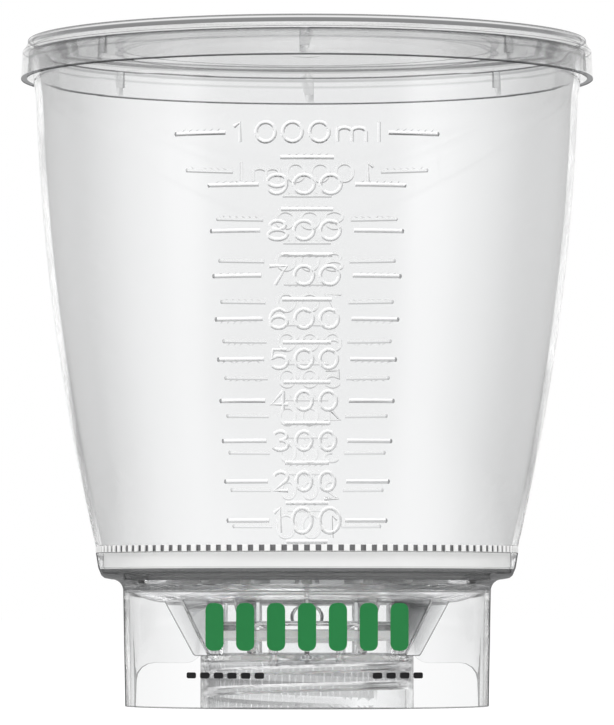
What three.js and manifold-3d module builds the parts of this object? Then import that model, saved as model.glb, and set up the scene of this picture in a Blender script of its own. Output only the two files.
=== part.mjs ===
// Bottle-top vacuum filtration unit, 1000 ml.
// A clear funnel stands on a clear base that screws on a 45 mm bottle neck. Between the two a white
// toothed ring clamps the membrane, which lies on a slotted support plate over the base's drain well.
// A clear lid rests on the funnel.
//
// Millimetres, +Z up. The origin is the middle of the ring that the base stands on, and the front,
// where the scale is read, is -Y.
import * as THREE from 'three';
import { mergeVertices } from 'three/addons/utils/BufferGeometryUtils.js';
import Module from 'manifold-3d';

const wasm = await Module();
wasm.setup();

// ---------------------------------------------------------------------------------------------
// Driving dimensions
// ---------------------------------------------------------------------------------------------

const CLEARANCE = 0.3;                // between pieces that are put into one another
const SKIN = 0.5;                     // how far a cutter reaches past the face it cuts

// Base: the skirt it stands on, and the cut-out in the skirt's back
const SKIRT_FOOT_RADIUS = 43.0;
const SKIRT_DRAFT = 0.5;              // the skirt is this much wider at its top
const SKIRT_HEIGHT = 27.3;
const SKIRT_WALL = 1.2;
const CUTOUT_FOOT_MARGIN = 1.3;       // skirt left beside the cut-out, seen from behind
const CUTOUT_LEAN = 0.5;
const CUTOUT_HEIGHT = 12.0;
const CUTOUT_CORNER = 4.5;
const HOSE_WINDOW_HALF_WIDTH = 25.5;  // the taller middle of the cut-out, round the hose barb
const HOSE_WINDOW_CORNER = 4.0;
const HOSE_WINDOW_LAND = 1.0;         // skirt left above the window

// Base: the collar that holds the membrane
const COLLAR_FILLET = 2.7;            // hollow curve from the skirt out to the collar
const COLLAR_RISE = 0.3;              // slope of the collar's underside
const COLLAR_CHAMFER_WIDTH = 1.5;
const COLLAR_CHAMFER_HEIGHT = 2.4;
const COLLAR_CHAMFER_KNEE = [0.5, 0.25];    // where the chamfer steepens, in shares of its width and height
const COLLAR_TAPER = 0.6;             // the collar narrows this much below the funnel
const COLLAR_HEIGHT = 9.0;            // from the skirt's top to the collar's rim
const COLLAR_WALL = 1.6;
const LEDGE_DEPTH = 4.9;              // rim down to the ledge under the membrane's edge
const LEDGE_WIDTH = 5.0;

// Base: the dish under the membrane, and the drain well in its middle
const PLATE_SEAT_WIDTH = 1.8;         // shelf that the support plate lies on
const FLOOR_WALL = 1.5;
const DISH_DROP = 1.9;                // how far the dish hangs below the skirt's top
const DISH_FLAT_RADIUS = 33.7;
const DISH_EDGE_GAP = 1.3;            // from the skirt's inner face to the dish's curve
const WELL_DEPTH = 6.7;
const SPOUT_RADIUS = 9.1;
const SPOUT_WALL = 1.5;
const SPOUT_LENGTH = 8.5;

// Base: the neck that screws on the bottle
const NECK_THREAD_RADIUS = 23.4;      // root of the female thread
const NECK_THREAD_WALL = 1.8;
const NECK_THREAD_HEIGHT = 12.9;
const NECK_BORE_RADIUS = 21.7;        // the narrower bore above the thread, round the bottle's lip
const NECK_BORE_WALL = 1.5;
const NECK_EDGE = 0.6;

// Base: gussets between the neck and the dish
const GUSSET_COUNT = 12;
const GUSSET_THICKNESS = 1.2;
const GUSSET_TOP_RADIUS = 34.1;
const GUSSET_FOOT_REACH = 1.6;        // past the threaded neck's outer face
const GUSSET_FOOT_ROUND = 0.9;
const GUSSET_ROUND_OUT = 0.2;         // the rounded foot's middle point, in shares of the round
const GUSSET_ROUND_UP = 0.35;

// Base: the hose barb and its passage into the bottle
const HOSE_SHANK_RADIUS = 3.4;
const HOSE_BORE_RADIUS = 1.7;
const HOSE_TIP_REACH = 62.0;          // from the unit's axis
const HOSE_BARB_COUNT = 3;
const HOSE_BARB_LENGTH = 4.2;
const HOSE_BARB_STEP = 0.9;
const PASSAGE_OFFSET = 4.3;           // of the down hole, outside the spout's face

// Gasket against the bottle's lip
const GASKET_THICKNESS = 1.9;
const GASKET_WIDTH = 5.1;

// Membrane and the plate that carries it
const MEMBRANE_OVERLAP = 1.6;         // how far the membrane's edge lies on the ledge
const MEMBRANE_THICKNESS = 0.3;
const PLATE_THICKNESS = 1.6;
const PLATE_RIM = 1.7;
const PLATE_HUB_RADIUS = 4.0;
const PLATE_RIB = 1.2;
const PLATE_SECTORS = 12;
const PLATE_SLOT_RINGS = 4;
const PLATE_FOOT_COUNT = 12;
const PLATE_FOOT_RADIUS = 1.2;
const PLATE_FOOT_CIRCLE = 30.0;

// Clamp ring with its toothed flange
const RING_FLANGE = 1.5;
const RING_WALL = 1.2;
const RING_FOOT_HEIGHT = 1.5;
const TOOTH_COUNT = 120;
const TOOTH_DEPTH = 0.6;

// Funnel
const FUNNEL_FOOT_RADIUS = 50.0;
const FUNNEL_SHOULDER_RADIUS = 64.3;
const FUNNEL_RIM_RADIUS = 65.2;
const FUNNEL_HEIGHT = 117.0;
const FUNNEL_RIM_BAND = 10.6;         // the straighter band above the shoulder
const RIM_BEND_FROM = 0.4;            // where the band bends upright, in shares of its height
const RIM_BEND_TO = 0.6;
const FUNNEL_BULGE = 2.7;             // how far the side swells past a straight cone
const FUNNEL_WALL = 1.6;

// Funnel: raised scale lines on the front and the back, every 100 ml, with a short bar under each
const SCALE_LEVELS = [0.046, 0.122, 0.201, 0.279, 0.359, 0.437, 0.521, 0.608, 0.697, 0.798];  // of the height
const SCALE_PROUD = 0.35;
const SCALE_LINE = 0.7;               // height of a line
const SCALE_MARGIN = 8.7;             // from the middle to the lowest lines' inner ends
const SCALE_MARGIN_GROWTH = 2.3;      // more than that on the line under the top one
const SCALE_LENGTH = 10.6;            // of a line
const SCALE_TOP_MARGIN = 18.6;        // inner end of the top lines, beside the longer number
const SCALE_BAR = 10.8;               // length of a short bar
const SCALE_BAR_DROPS = [0.041, 0.049];     // from the lowest and the top line down to its bar, of the height

// Lid
const LID_PANEL = 1.4;
const LID_WALL = 1.4;
const LID_SKIRT_DEPTH = 6.4;
const LID_SKIRT_DRAFT = 0.4;
const LID_SKIRT_GAP = 0.9;            // between the funnel's rim and the lid's skirt
const LID_CHAMFER = 1.2;
const LID_CHAMFER_HEIGHT = 1.7;
const LID_LAND = 1.0;                 // plain wall between the panel's underside level and the chamfer
const STACKING_RING_HEIGHT = 1.6;
const STACKING_RING_WIDTH = 1.4;
const PANEL_STEP_RADIUS = 44.5;
const PANEL_STEP = 0.5;
const DIMPLE_RADIUS = 4.3;
const DIMPLE_DEPTH = 0.7;
const DIMPLE_KNEE = [0.6, 0.65];      // where the dimple flattens, in shares of its radius and depth
const LUG_COUNT = 8;
const LUG_WIDTH = 2.1;
const LUG_LENGTH = 4.1;

// Facets round each piece
const FUNNEL_FACETS = 48;
const BASE_FACETS = 48;
const SMALL_FACETS = 24;

// ---------------------------------------------------------------------------------------------
// Levels and radii that several pieces share
// ---------------------------------------------------------------------------------------------

const skirtTopRadius = SKIRT_FOOT_RADIUS + SKIRT_DRAFT;
const collarTop = SKIRT_HEIGHT + COLLAR_HEIGHT;
const ledgeLevel = collarTop - LEDGE_DEPTH;
const plateSeatLevel = ledgeLevel - PLATE_THICKNESS;
const dishUnderside = SKIRT_HEIGHT - DISH_DROP;
const dishFloor = dishUnderside + FLOOR_WALL;
const wellFloor = dishFloor - WELL_DEPTH;
const neckCeiling = wellFloor - FLOOR_WALL;
const collarBoreRadius = FUNNEL_FOOT_RADIUS - COLLAR_WALL;
const plateBoreRadius = collarBoreRadius - LEDGE_WIDTH;
const membraneLevel = ledgeLevel;
const membraneRadius = plateBoreRadius + MEMBRANE_OVERLAP;
const ringFootLevel = membraneLevel + MEMBRANE_THICKNESS;
const funnelFoot = collarTop + RING_FLANGE;
const funnelTop = funnelFoot + FUNNEL_HEIGHT;
const neckOuterRadius = NECK_THREAD_RADIUS + NECK_THREAD_WALL;
const neckBoreOuterRadius = NECK_BORE_RADIUS + NECK_BORE_WALL;
const hoseAxisLevel = neckCeiling + HOSE_SHANK_RADIUS;
const panelTop = funnelTop + LID_PANEL;

// ---------------------------------------------------------------------------------------------
// Geometry helpers
// ---------------------------------------------------------------------------------------------

const DEGREE = Math.PI / 180;
const FRONT = -90;                    // heading of the unit's front and back, in degrees from +X
const BACK = 90;

// A closed three.js geometry as a solid that can be joined and cut.
function solidOf(geometry) {
  const bare = geometry.clone();
  bare.deleteAttribute('normal');
  bare.deleteAttribute('uv');
  const merged = mergeVertices(bare, 1e-4);
  const corners = merged.index.array;
  const faces = [];
  for (let i = 0; i < corners.length; i += 3) {
    const [a, b, c] = [corners[i], corners[i + 1], corners[i + 2]];
    if (a !== b && b !== c && c !== a) faces.push(a, b, c);
  }
  return new wasm.Manifold(new wasm.Mesh({
    numProp: 3,
    vertProperties: new Float32Array(merged.attributes.position.array),
    triVerts: new Uint32Array(faces),
  }));
}

// The three.js geometry of a solid.
function geometryOf(solid) {
  const mesh = solid.getMesh();
  const geometry = new THREE.BufferGeometry();
  geometry.setAttribute('position', new THREE.BufferAttribute(new Float32Array(mesh.vertProperties), 3));
  geometry.setIndex(new THREE.BufferAttribute(new Uint32Array(mesh.triVerts), 1));
  geometry.computeVertexNormals();
  return geometry;
}

function join(solids) {
  return solids.reduce((whole, piece) => whole.add(piece));
}

// A solid of revolution about Z from the [radius, height] points of its section.
function revolved(section, facets) {
  let points = section.map(([radius, height]) => new THREE.Vector2(radius, height));
  if (THREE.ShapeUtils.area(points) < 0) points.reverse();
  const onAxis = points.findIndex((point, i) =>
    point.x === 0 && points[(i + points.length - 1) % points.length].x === 0);
  if (onAxis >= 0) {
    points = [...points.slice(onAxis), ...points.slice(0, onAxis)];
  } else {
    points.push(points[0].clone());
  }
  return solidOf(new THREE.LatheGeometry(points, facets).rotateX(Math.PI / 2));
}

// A solid between two heights from an outline in XY.
function extrudedUp(shape, bottom, top) {
  const geometry = new THREE.ExtrudeGeometry(shape, { depth: top - bottom, bevelEnabled: false, curveSegments: 8 });
  return solidOf(geometry.translate(0, 0, bottom));
}

// A solid from an outline whose x is X and whose y is Z, between two places along Y.
function extrudedBack(shape, front, back) {
  const geometry = new THREE.ExtrudeGeometry(shape, { depth: back - front, bevelEnabled: false, curveSegments: 6 });
  return solidOf(geometry.rotateX(Math.PI / 2).translate(0, back, 0));
}

function outline(points) {
  return new THREE.Shape(points.map(([x, y]) => new THREE.Vector2(x, y)));
}

function spunAboutZ(solid, degrees) {
  return solid.rotate([0, 0, degrees]);
}

// Points on an arc of a circle, from one angle to another in degrees, both ends included.
function arc(centreX, centreY, radius, fromDegrees, toDegrees, steps) {
  return Array.from({ length: steps + 1 }, (_, i) => {
    const angle = (fromDegrees + (toDegrees - fromDegrees) * i / steps) * DEGREE;
    return [centreX + radius * Math.cos(angle), centreY + radius * Math.sin(angle)];
  });
}

// Points on the circular arc that joins two points and stands off their chord by a rise.
function bowed(from, to, rise, steps) {
  const chord = [to[0] - from[0], to[1] - from[1]];
  const length = Math.hypot(...chord);
  const side = [chord[1] / length, -chord[0] / length];
  const radius = (length * length / 4 + rise * rise) / (2 * rise);
  const half = Math.asin(length / (2 * radius));
  return Array.from({ length: steps + 1 }, (_, i) => {
    const angle = -half + 2 * half * i / steps;
    const along = (radius * Math.sin(angle) + length / 2) / length;
    const off = radius * Math.cos(angle) - (radius - rise);
    return [from[0] + chord[0] * along + side[0] * off, from[1] + chord[1] * along + side[1] * off];
  });
}

// ---------------------------------------------------------------------------------------------
// Base
// ---------------------------------------------------------------------------------------------

const DISH_CURVE_STEPS = 4;

// The dish's curve from its flat middle up to its edge, moved up by a lift.
function dishCurve(edgeRadius, lift) {
  const from = [DISH_FLAT_RADIUS, dishUnderside + lift];
  const to = [edgeRadius, SKIRT_HEIGHT + lift];
  const middle = [(from[0] + to[0]) / 2, from[1]];
  const curve = new THREE.QuadraticBezierCurve(
    new THREE.Vector2(...from), new THREE.Vector2(...middle), new THREE.Vector2(...to));
  return curve.getPoints(DISH_CURVE_STEPS).map((point) => [point.x, point.y]);
}

function baseSection() {
  const collarRadius = FUNNEL_FOOT_RADIUS - COLLAR_TAPER;
  const undersideLevel = SKIRT_HEIGHT + COLLAR_FILLET;
  const filletCentre = [skirtTopRadius + COLLAR_FILLET, SKIRT_HEIGHT];
  const chamferInner = collarRadius - COLLAR_CHAMFER_WIDTH;
  const skirtInnerTop = skirtTopRadius - SKIRT_WALL;
  const dishEdge = skirtInnerTop - DISH_EDGE_GAP;
  const chamferFoot = undersideLevel + COLLAR_RISE;
  return [
    // up the outside, from the skirt's foot to the collar's rim
    [SKIRT_FOOT_RADIUS, 0],
    ...arc(...filletCentre, COLLAR_FILLET, 180, 90, 4),
    [chamferInner, chamferFoot],
    [chamferInner + COLLAR_CHAMFER_WIDTH * COLLAR_CHAMFER_KNEE[0],
      chamferFoot + COLLAR_CHAMFER_HEIGHT * COLLAR_CHAMFER_KNEE[1]],
    [collarRadius, chamferFoot + COLLAR_CHAMFER_HEIGHT],
    [FUNNEL_FOOT_RADIUS, collarTop],
    // down the inside of the collar, over the membrane's ledge and the plate's seat
    [collarBoreRadius, collarTop],
    [collarBoreRadius, ledgeLevel],
    [plateBoreRadius, ledgeLevel],
    [plateBoreRadius, plateSeatLevel],
    [plateBoreRadius - PLATE_SEAT_WIDTH, plateSeatLevel],
    // the dish's floor, the drain well and the spout
    ...dishCurve(Math.min(dishEdge, plateBoreRadius - PLATE_SEAT_WIDTH), FLOOR_WALL).reverse(),
    [NECK_BORE_RADIUS, dishFloor],
    [NECK_BORE_RADIUS, wellFloor],
    [SPOUT_RADIUS - SPOUT_WALL, wellFloor],
    [SPOUT_RADIUS - SPOUT_WALL, neckCeiling - SPOUT_LENGTH],
    [SPOUT_RADIUS, neckCeiling - SPOUT_LENGTH],
    [SPOUT_RADIUS, neckCeiling],
    // the neck
    [NECK_BORE_RADIUS, neckCeiling],
    [NECK_BORE_RADIUS, NECK_THREAD_HEIGHT],
    [NECK_THREAD_RADIUS, NECK_THREAD_HEIGHT - NECK_BORE_WALL],
    [NECK_THREAD_RADIUS, NECK_EDGE],
    [NECK_THREAD_RADIUS + NECK_EDGE, 0],
    [neckOuterRadius - NECK_EDGE, 0],
    [neckOuterRadius, NECK_EDGE],
    [neckOuterRadius, NECK_THREAD_HEIGHT],
    [neckBoreOuterRadius, NECK_THREAD_HEIGHT],
    // the dish's underside and the skirt's inner face
    [neckBoreOuterRadius, dishUnderside],
    ...dishCurve(dishEdge, 0),
    [skirtInnerTop, SKIRT_HEIGHT],
    [SKIRT_FOOT_RADIUS - SKIRT_WALL, 0],
  ];
}

// Flat web between the neck and the dish, pointing along +X.
function gusset() {
  const foot = neckOuterRadius + GUSSET_FOOT_REACH;
  const inner = NECK_BORE_RADIUS + NECK_BORE_WALL / 2;
  const top = dishUnderside + FLOOR_WALL / 2;
  const slope = Math.atan2(top - NECK_THREAD_HEIGHT, GUSSET_TOP_RADIUS - foot);
  const back = GUSSET_FOOT_ROUND * Math.tan(slope / 2);
  const shape = outline([
    [inner, NECK_THREAD_HEIGHT],
    [foot - back, NECK_THREAD_HEIGHT],
    [foot + GUSSET_FOOT_ROUND * GUSSET_ROUND_OUT, NECK_THREAD_HEIGHT + GUSSET_FOOT_ROUND * GUSSET_ROUND_UP],
    [GUSSET_TOP_RADIUS, top],
    [inner, top],
  ]);
  return extrudedBack(shape, -GUSSET_THICKNESS / 2, GUSSET_THICKNESS / 2);
}

// Cutter for the skirt's back: a wide low arch with a taller window in its middle.
function cutout() {
  const foot = SKIRT_FOOT_RADIUS - CUTOUT_FOOT_MARGIN;
  const shoulder = foot - CUTOUT_LEAN;
  const windowTop = SKIRT_HEIGHT - HOSE_WINDOW_LAND;
  const half = HOSE_WINDOW_HALF_WIDTH;
  const round = HOSE_WINDOW_CORNER;
  const rightSide = [
    [foot, -SKIN],
    ...arc(shoulder - CUTOUT_CORNER, CUTOUT_HEIGHT - CUTOUT_CORNER, CUTOUT_CORNER, 0, 90, 5),
    ...arc(half + round, CUTOUT_HEIGHT + round, round, 270, 180, 4),
    ...arc(half - round, windowTop - round, round, 0, 90, 4),
  ];
  const leftSide = rightSide.map(([x, z]) => [-x, z]).reverse();
  const prism = extrudedBack(outline([...rightSide, ...leftSide]), 0, skirtTopRadius + SKIN);
  const core = revolved([
    [0, -2 * SKIN],
    [SKIRT_FOOT_RADIUS - SKIRT_WALL - CLEARANCE, -2 * SKIN],
    [SKIRT_FOOT_RADIUS - SKIRT_WALL - CLEARANCE, SKIRT_HEIGHT],
    [0, SKIRT_HEIGHT],
  ], BASE_FACETS);
  return prism.subtract(core);
}

// Hose barb, modelled along +Z from the unit's axis and then laid back along +Y.
function hoseBarb() {
  const inner = SPOUT_RADIUS - SPOUT_WALL / 2;
  const barbsStart = HOSE_TIP_REACH - HOSE_BARB_COUNT * HOSE_BARB_LENGTH;
  const section = [[0, inner], [HOSE_SHANK_RADIUS, inner], [HOSE_SHANK_RADIUS, barbsStart]];
  for (let i = 0; i < HOSE_BARB_COUNT; i += 1) {
    const foot = barbsStart + i * HOSE_BARB_LENGTH;
    section.push([HOSE_SHANK_RADIUS + HOSE_BARB_STEP, foot]);
    section.push([HOSE_SHANK_RADIUS, foot + HOSE_BARB_LENGTH]);
  }
  section.push([0, HOSE_TIP_REACH]);
  return revolved(section, SMALL_FACETS).rotate([-90, 0, 0]).translate([0, 0, hoseAxisLevel]);
}

// Bore of the barb and the hole that leads down from it, inside the gasket.
function vacuumPassage() {
  const downHole = SPOUT_RADIUS + PASSAGE_OFFSET;
  const bore = revolved([
    [0, downHole - HOSE_BORE_RADIUS],
    [HOSE_BORE_RADIUS, downHole - HOSE_BORE_RADIUS],
    [HOSE_BORE_RADIUS, HOSE_TIP_REACH + SKIN],
    [0, HOSE_TIP_REACH + SKIN],
  ], SMALL_FACETS).rotate([-90, 0, 0]).translate([0, 0, hoseAxisLevel]);
  const down = revolved([
    [0, neckCeiling - SKIN],
    [HOSE_BORE_RADIUS, neckCeiling - SKIN],
    [HOSE_BORE_RADIUS, hoseAxisLevel],
    [0, hoseAxisLevel],
  ], SMALL_FACETS).translate([0, downHole, 0]);
  return bore.add(down);
}

function base() {
  const body = revolved(baseSection(), BASE_FACETS).subtract(cutout());
  const web = gusset();
  const webs = Array.from({ length: GUSSET_COUNT }, (_, i) => spunAboutZ(web, BACK + i * 360 / GUSSET_COUNT));
  return join([body, ...webs, hoseBarb()]).subtract(vacuumPassage());
}

// ---------------------------------------------------------------------------------------------
// Pieces between the base and the funnel
// ---------------------------------------------------------------------------------------------

function gasket() {
  const outer = NECK_BORE_RADIUS - CLEARANCE;
  return revolved([
    [outer - GASKET_WIDTH, neckCeiling - GASKET_THICKNESS],
    [outer, neckCeiling - GASKET_THICKNESS],
    [outer, neckCeiling],
    [outer - GASKET_WIDTH, neckCeiling],
  ], BASE_FACETS);
}

// A hole between two radii and two angles, as an outline for a flat plate.
function sectorHole(inner, outer, from, to) {
  const steps = 3;
  const hole = new THREE.Path();
  hole.setFromPoints([...arc(0, 0, outer, from, to, steps), ...arc(0, 0, inner, to, from, steps)]
    .map(([x, y]) => new THREE.Vector2(x, y)));
  return hole;
}

// Slotted plate: rings of curved slots between radial ribs, on a circle of short feet.
function supportPlate() {
  const radius = plateBoreRadius - CLEARANCE;
  const shape = outline(arc(0, 0, radius, 0, 360, BASE_FACETS).slice(0, -1));
  const slotsFrom = PLATE_HUB_RADIUS;
  const pitch = (radius - PLATE_RIM + PLATE_RIB - slotsFrom) / PLATE_SLOT_RINGS;
  for (let ring = 0; ring < PLATE_SLOT_RINGS; ring += 1) {
    const inner = slotsFrom + ring * pitch;
    const outer = inner + pitch - PLATE_RIB;
    const sectors = ring < PLATE_SLOT_RINGS / 2 ? PLATE_SECTORS / 2 : PLATE_SECTORS;
    const ribAngle = PLATE_RIB / ((inner + outer) / 2) / DEGREE;
    for (let i = 0; i < sectors; i += 1) {
      const from = i * 360 / sectors + ribAngle / 2;
      shape.holes.push(sectorHole(inner, outer, from, from + 360 / sectors - ribAngle));
    }
  }
  const plate = extrudedUp(shape, plateSeatLevel, membraneLevel);
  const footLength = plateSeatLevel - dishFloor;
  const foot = solidOf(new THREE.CylinderGeometry(PLATE_FOOT_RADIUS, PLATE_FOOT_RADIUS, footLength + SKIN, 8)
    .rotateX(Math.PI / 2)
    .translate(PLATE_FOOT_CIRCLE, 0, dishFloor + (footLength + SKIN) / 2));
  const feet = Array.from({ length: PLATE_FOOT_COUNT }, (_, i) => spunAboutZ(foot, i * 360 / PLATE_FOOT_COUNT));
  return join([plate, ...feet]);
}

function membrane() {
  return revolved([
    [0, membraneLevel],
    [membraneRadius, membraneLevel],
    [membraneRadius, ringFootLevel],
    [0, ringFootLevel],
  ], BASE_FACETS);
}

// The ring's flange, with square notches cut in its edge. One notch is in the middle of the front.
function toothedFlange(boreRadius) {
  const pitch = 360 / TOOTH_COUNT;
  const points = [];
  for (let i = 0; i < TOOTH_COUNT; i += 1) {
    const notch = FRONT + i * pitch;
    points.push(...arc(0, 0, FUNNEL_FOOT_RADIUS - TOOTH_DEPTH, notch - pitch / 4, notch + pitch / 4, 1));
    points.push(...arc(0, 0, FUNNEL_FOOT_RADIUS, notch + pitch / 4, notch + pitch * 3 / 4, 1));
  }
  const shape = outline(points);
  const bore = new THREE.Path();
  bore.setFromPoints(arc(0, 0, boreRadius, 0, 360, BASE_FACETS).slice(0, -1).map(([x, y]) => new THREE.Vector2(x, y)));
  shape.holes.push(bore);
  return extrudedUp(shape, collarTop, funnelFoot);
}

// White ring that presses the membrane on its ledge and shows its teeth between base and funnel.
function clampRing() {
  const outer = collarBoreRadius - CLEARANCE;
  const inner = outer - RING_WALL;
  const footInner = plateBoreRadius + CLEARANCE;
  const body = revolved([
    [footInner, ringFootLevel],
    [outer, ringFootLevel],
    [outer, collarTop + RING_FLANGE / 2],
    [inner, collarTop + RING_FLANGE / 2],
    [inner, ringFootLevel + RING_FOOT_HEIGHT],
    [footInner, ringFootLevel + RING_FOOT_HEIGHT],
  ], BASE_FACETS);
  return toothedFlange(inner).add(body);
}

// ---------------------------------------------------------------------------------------------
// Funnel
// ---------------------------------------------------------------------------------------------

const FUNNEL_CURVE_STEPS = 7;

// One side of the funnel from foot to rim, moved in by an inset.
function funnelSide(inset) {
  const foot = [FUNNEL_FOOT_RADIUS - inset, funnelFoot];
  const shoulder = [FUNNEL_SHOULDER_RADIUS - inset, funnelTop - FUNNEL_RIM_BAND];
  const rimRadius = FUNNEL_RIM_RADIUS - inset;
  return [
    ...bowed(foot, shoulder, FUNNEL_BULGE, FUNNEL_CURVE_STEPS),
    [(shoulder[0] + rimRadius) / 2, shoulder[1] + FUNNEL_RIM_BAND * RIM_BEND_FROM],
    [rimRadius, shoulder[1] + FUNNEL_RIM_BAND * RIM_BEND_TO],
    [rimRadius, funnelTop],
  ];
}

// Outer radius of the funnel at a height.
function funnelRadius(height) {
  const side = funnelSide(0);
  const above = Math.max(1, side.findIndex(([, level]) => level >= height));
  const [low, high] = [side[above - 1], side[above]];
  return low[0] + (high[0] - low[0]) * (height - low[1]) / (high[1] - low[1]);
}

// Raised ring round the funnel, kept only between two distances from the middle, front and back.
function scaleLine(height, spans) {
  const foot = height - SCALE_LINE / 2;
  const head = height + SCALE_LINE / 2;
  const sunk = FUNNEL_WALL / 2;
  const ring = revolved([
    [funnelRadius(foot) - sunk, foot],
    [funnelRadius(foot) + SCALE_PROUD, foot],
    [funnelRadius(head) + SCALE_PROUD, head],
    [funnelRadius(head) - sunk, head],
  ], FUNNEL_FACETS);
  const depth = 3 * FUNNEL_RIM_RADIUS;
  const windows = spans.map(([from, to]) => wasm.Manifold.cube([to - from, depth, 2 * SCALE_LINE], true)
    .translate([(from + to) / 2, 0, height]));
  return ring.intersect(join(windows));
}

function scale() {
  const last = SCALE_LEVELS.length - 1;
  return SCALE_LEVELS.flatMap((share, i) => {
    const height = funnelFoot + share * FUNNEL_HEIGHT;
    const [lowDrop, topDrop] = SCALE_BAR_DROPS;
    const drop = (lowDrop + (topDrop - lowDrop) * i / last) * FUNNEL_HEIGHT;
    const near = i === last ? SCALE_TOP_MARGIN : SCALE_MARGIN + SCALE_MARGIN_GROWTH * i / (last - 1);
    const far = near + SCALE_LENGTH;
    return [
      scaleLine(height, [[-far, -near], [near, far]]),
      scaleLine(height - drop, [[-SCALE_BAR / 2, SCALE_BAR / 2]]),
    ];
  });
}

function funnel() {
  const body = revolved([...funnelSide(0), ...funnelSide(FUNNEL_WALL).reverse()], FUNNEL_FACETS);
  return join([body, ...scale()]);
}

// ---------------------------------------------------------------------------------------------
// Lid
// ---------------------------------------------------------------------------------------------

function lidSection() {
  const skirtInner = FUNNEL_RIM_RADIUS + LID_SKIRT_GAP;
  const skirtOuter = skirtInner + LID_WALL;
  const ringOuter = skirtOuter - LID_CHAMFER;
  const ringInner = ringOuter - STACKING_RING_WIDTH;
  const skirtFoot = funnelTop - LID_SKIRT_DEPTH;
  const land = funnelTop + LID_LAND - LID_CHAMFER_HEIGHT / 2;
  const dimple = (floor, radius) => [
    [radius, floor],
    [radius * DIMPLE_KNEE[0], floor - DIMPLE_DEPTH * DIMPLE_KNEE[1]],
    [0, floor - DIMPLE_DEPTH],
  ];
  return [
    [skirtInner + LID_SKIRT_DRAFT, skirtFoot],
    [skirtOuter + LID_SKIRT_DRAFT, skirtFoot],
    [skirtOuter, land],
    [ringOuter, land + LID_CHAMFER_HEIGHT],
    [ringOuter, panelTop + STACKING_RING_HEIGHT],
    [ringInner, panelTop + STACKING_RING_HEIGHT],
    [ringInner, panelTop],
    [PANEL_STEP_RADIUS + PANEL_STEP, panelTop],
    [PANEL_STEP_RADIUS, panelTop - PANEL_STEP],
    ...dimple(panelTop - PANEL_STEP, DIMPLE_RADIUS),
    ...dimple(funnelTop - PANEL_STEP, DIMPLE_RADIUS).reverse(),
    [PANEL_STEP_RADIUS, funnelTop - PANEL_STEP],
    [PANEL_STEP_RADIUS + PANEL_STEP, funnelTop],
    [skirtInner, funnelTop],
  ];
}

// Small rib inside the lid's skirt that centres the lid on the funnel's rim, at the front.
function lug() {
  const inner = FUNNEL_RIM_RADIUS + CLEARANCE;
  const outer = FUNNEL_RIM_RADIUS + LID_SKIRT_GAP + LID_WALL / 2;
  const shape = outline([
    [-LUG_WIDTH / 2, -outer],
    [LUG_WIDTH / 2, -outer],
    [LUG_WIDTH / 2, -inner],
    [-LUG_WIDTH / 2, -inner],
  ]);
  return extrudedUp(shape, funnelTop - LUG_LENGTH, funnelTop + LID_PANEL / 2);
}

function lid() {
  const rib = lug();
  const ribs = Array.from({ length: LUG_COUNT }, (_, i) => spunAboutZ(rib, i * 360 / LUG_COUNT));
  return join([revolved(lidSection(), FUNNEL_FACETS), ...ribs]);
}

// ---------------------------------------------------------------------------------------------
// Materials and the assembled unit
// ---------------------------------------------------------------------------------------------

const clear = () => new THREE.MeshStandardMaterial({
  color: 0xeef0f1, roughness: 0.08, metalness: 0, transparent: true, opacity: 0.35,
});
const white = (roughness) => new THREE.MeshStandardMaterial({ color: 0xf4f4f2, roughness, metalness: 0 });

const unit = new THREE.Group();

function place(name, solid, material) {
  const mesh = new THREE.Mesh(geometryOf(solid), material);
  mesh.name = name;
  unit.add(mesh);
}

place('base', base(), clear());
place('gasket', gasket(), white(0.6));
place('support_plate', supportPlate(), white(0.5));
place('membrane', membrane(), white(0.9));
place('clamp_ring', clampRing(), white(0.45));
place('funnel', funnel(), clear());
place('lid', lid(), clear());

export default unit;
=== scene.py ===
"""Bottle-top vacuum filtration unit of 1000 ml: the finish of its pieces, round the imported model."""
import math

import bmesh
import bpy
from bpy.props import FloatProperty, FloatVectorProperty, IntProperty, PointerProperty
from mathutils import Matrix, Vector


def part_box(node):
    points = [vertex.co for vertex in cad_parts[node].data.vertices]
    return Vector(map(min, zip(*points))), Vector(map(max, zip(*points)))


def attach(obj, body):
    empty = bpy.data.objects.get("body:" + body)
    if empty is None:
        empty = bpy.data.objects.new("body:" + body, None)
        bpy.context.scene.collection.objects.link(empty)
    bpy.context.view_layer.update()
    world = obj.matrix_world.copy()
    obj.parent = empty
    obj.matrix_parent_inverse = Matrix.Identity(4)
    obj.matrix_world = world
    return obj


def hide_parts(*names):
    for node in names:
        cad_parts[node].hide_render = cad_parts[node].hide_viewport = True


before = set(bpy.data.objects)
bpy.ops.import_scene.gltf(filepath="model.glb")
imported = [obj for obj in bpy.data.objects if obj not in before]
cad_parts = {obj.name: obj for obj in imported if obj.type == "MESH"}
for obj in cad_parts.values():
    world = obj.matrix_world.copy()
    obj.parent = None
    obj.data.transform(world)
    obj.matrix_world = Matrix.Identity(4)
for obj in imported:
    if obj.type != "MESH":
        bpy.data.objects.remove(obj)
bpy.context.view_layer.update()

bl_info = {
    "name": "Vacuum Filtration Unit",
    "version": (1, 0, 0),
    "blender": (4, 5, 0),
    "location": "View3D > Sidebar > Filtration",
    "description": "Models and finishes a bottle-top vacuum filtration unit on its packed frame",
    "category": "Object",
}

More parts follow.
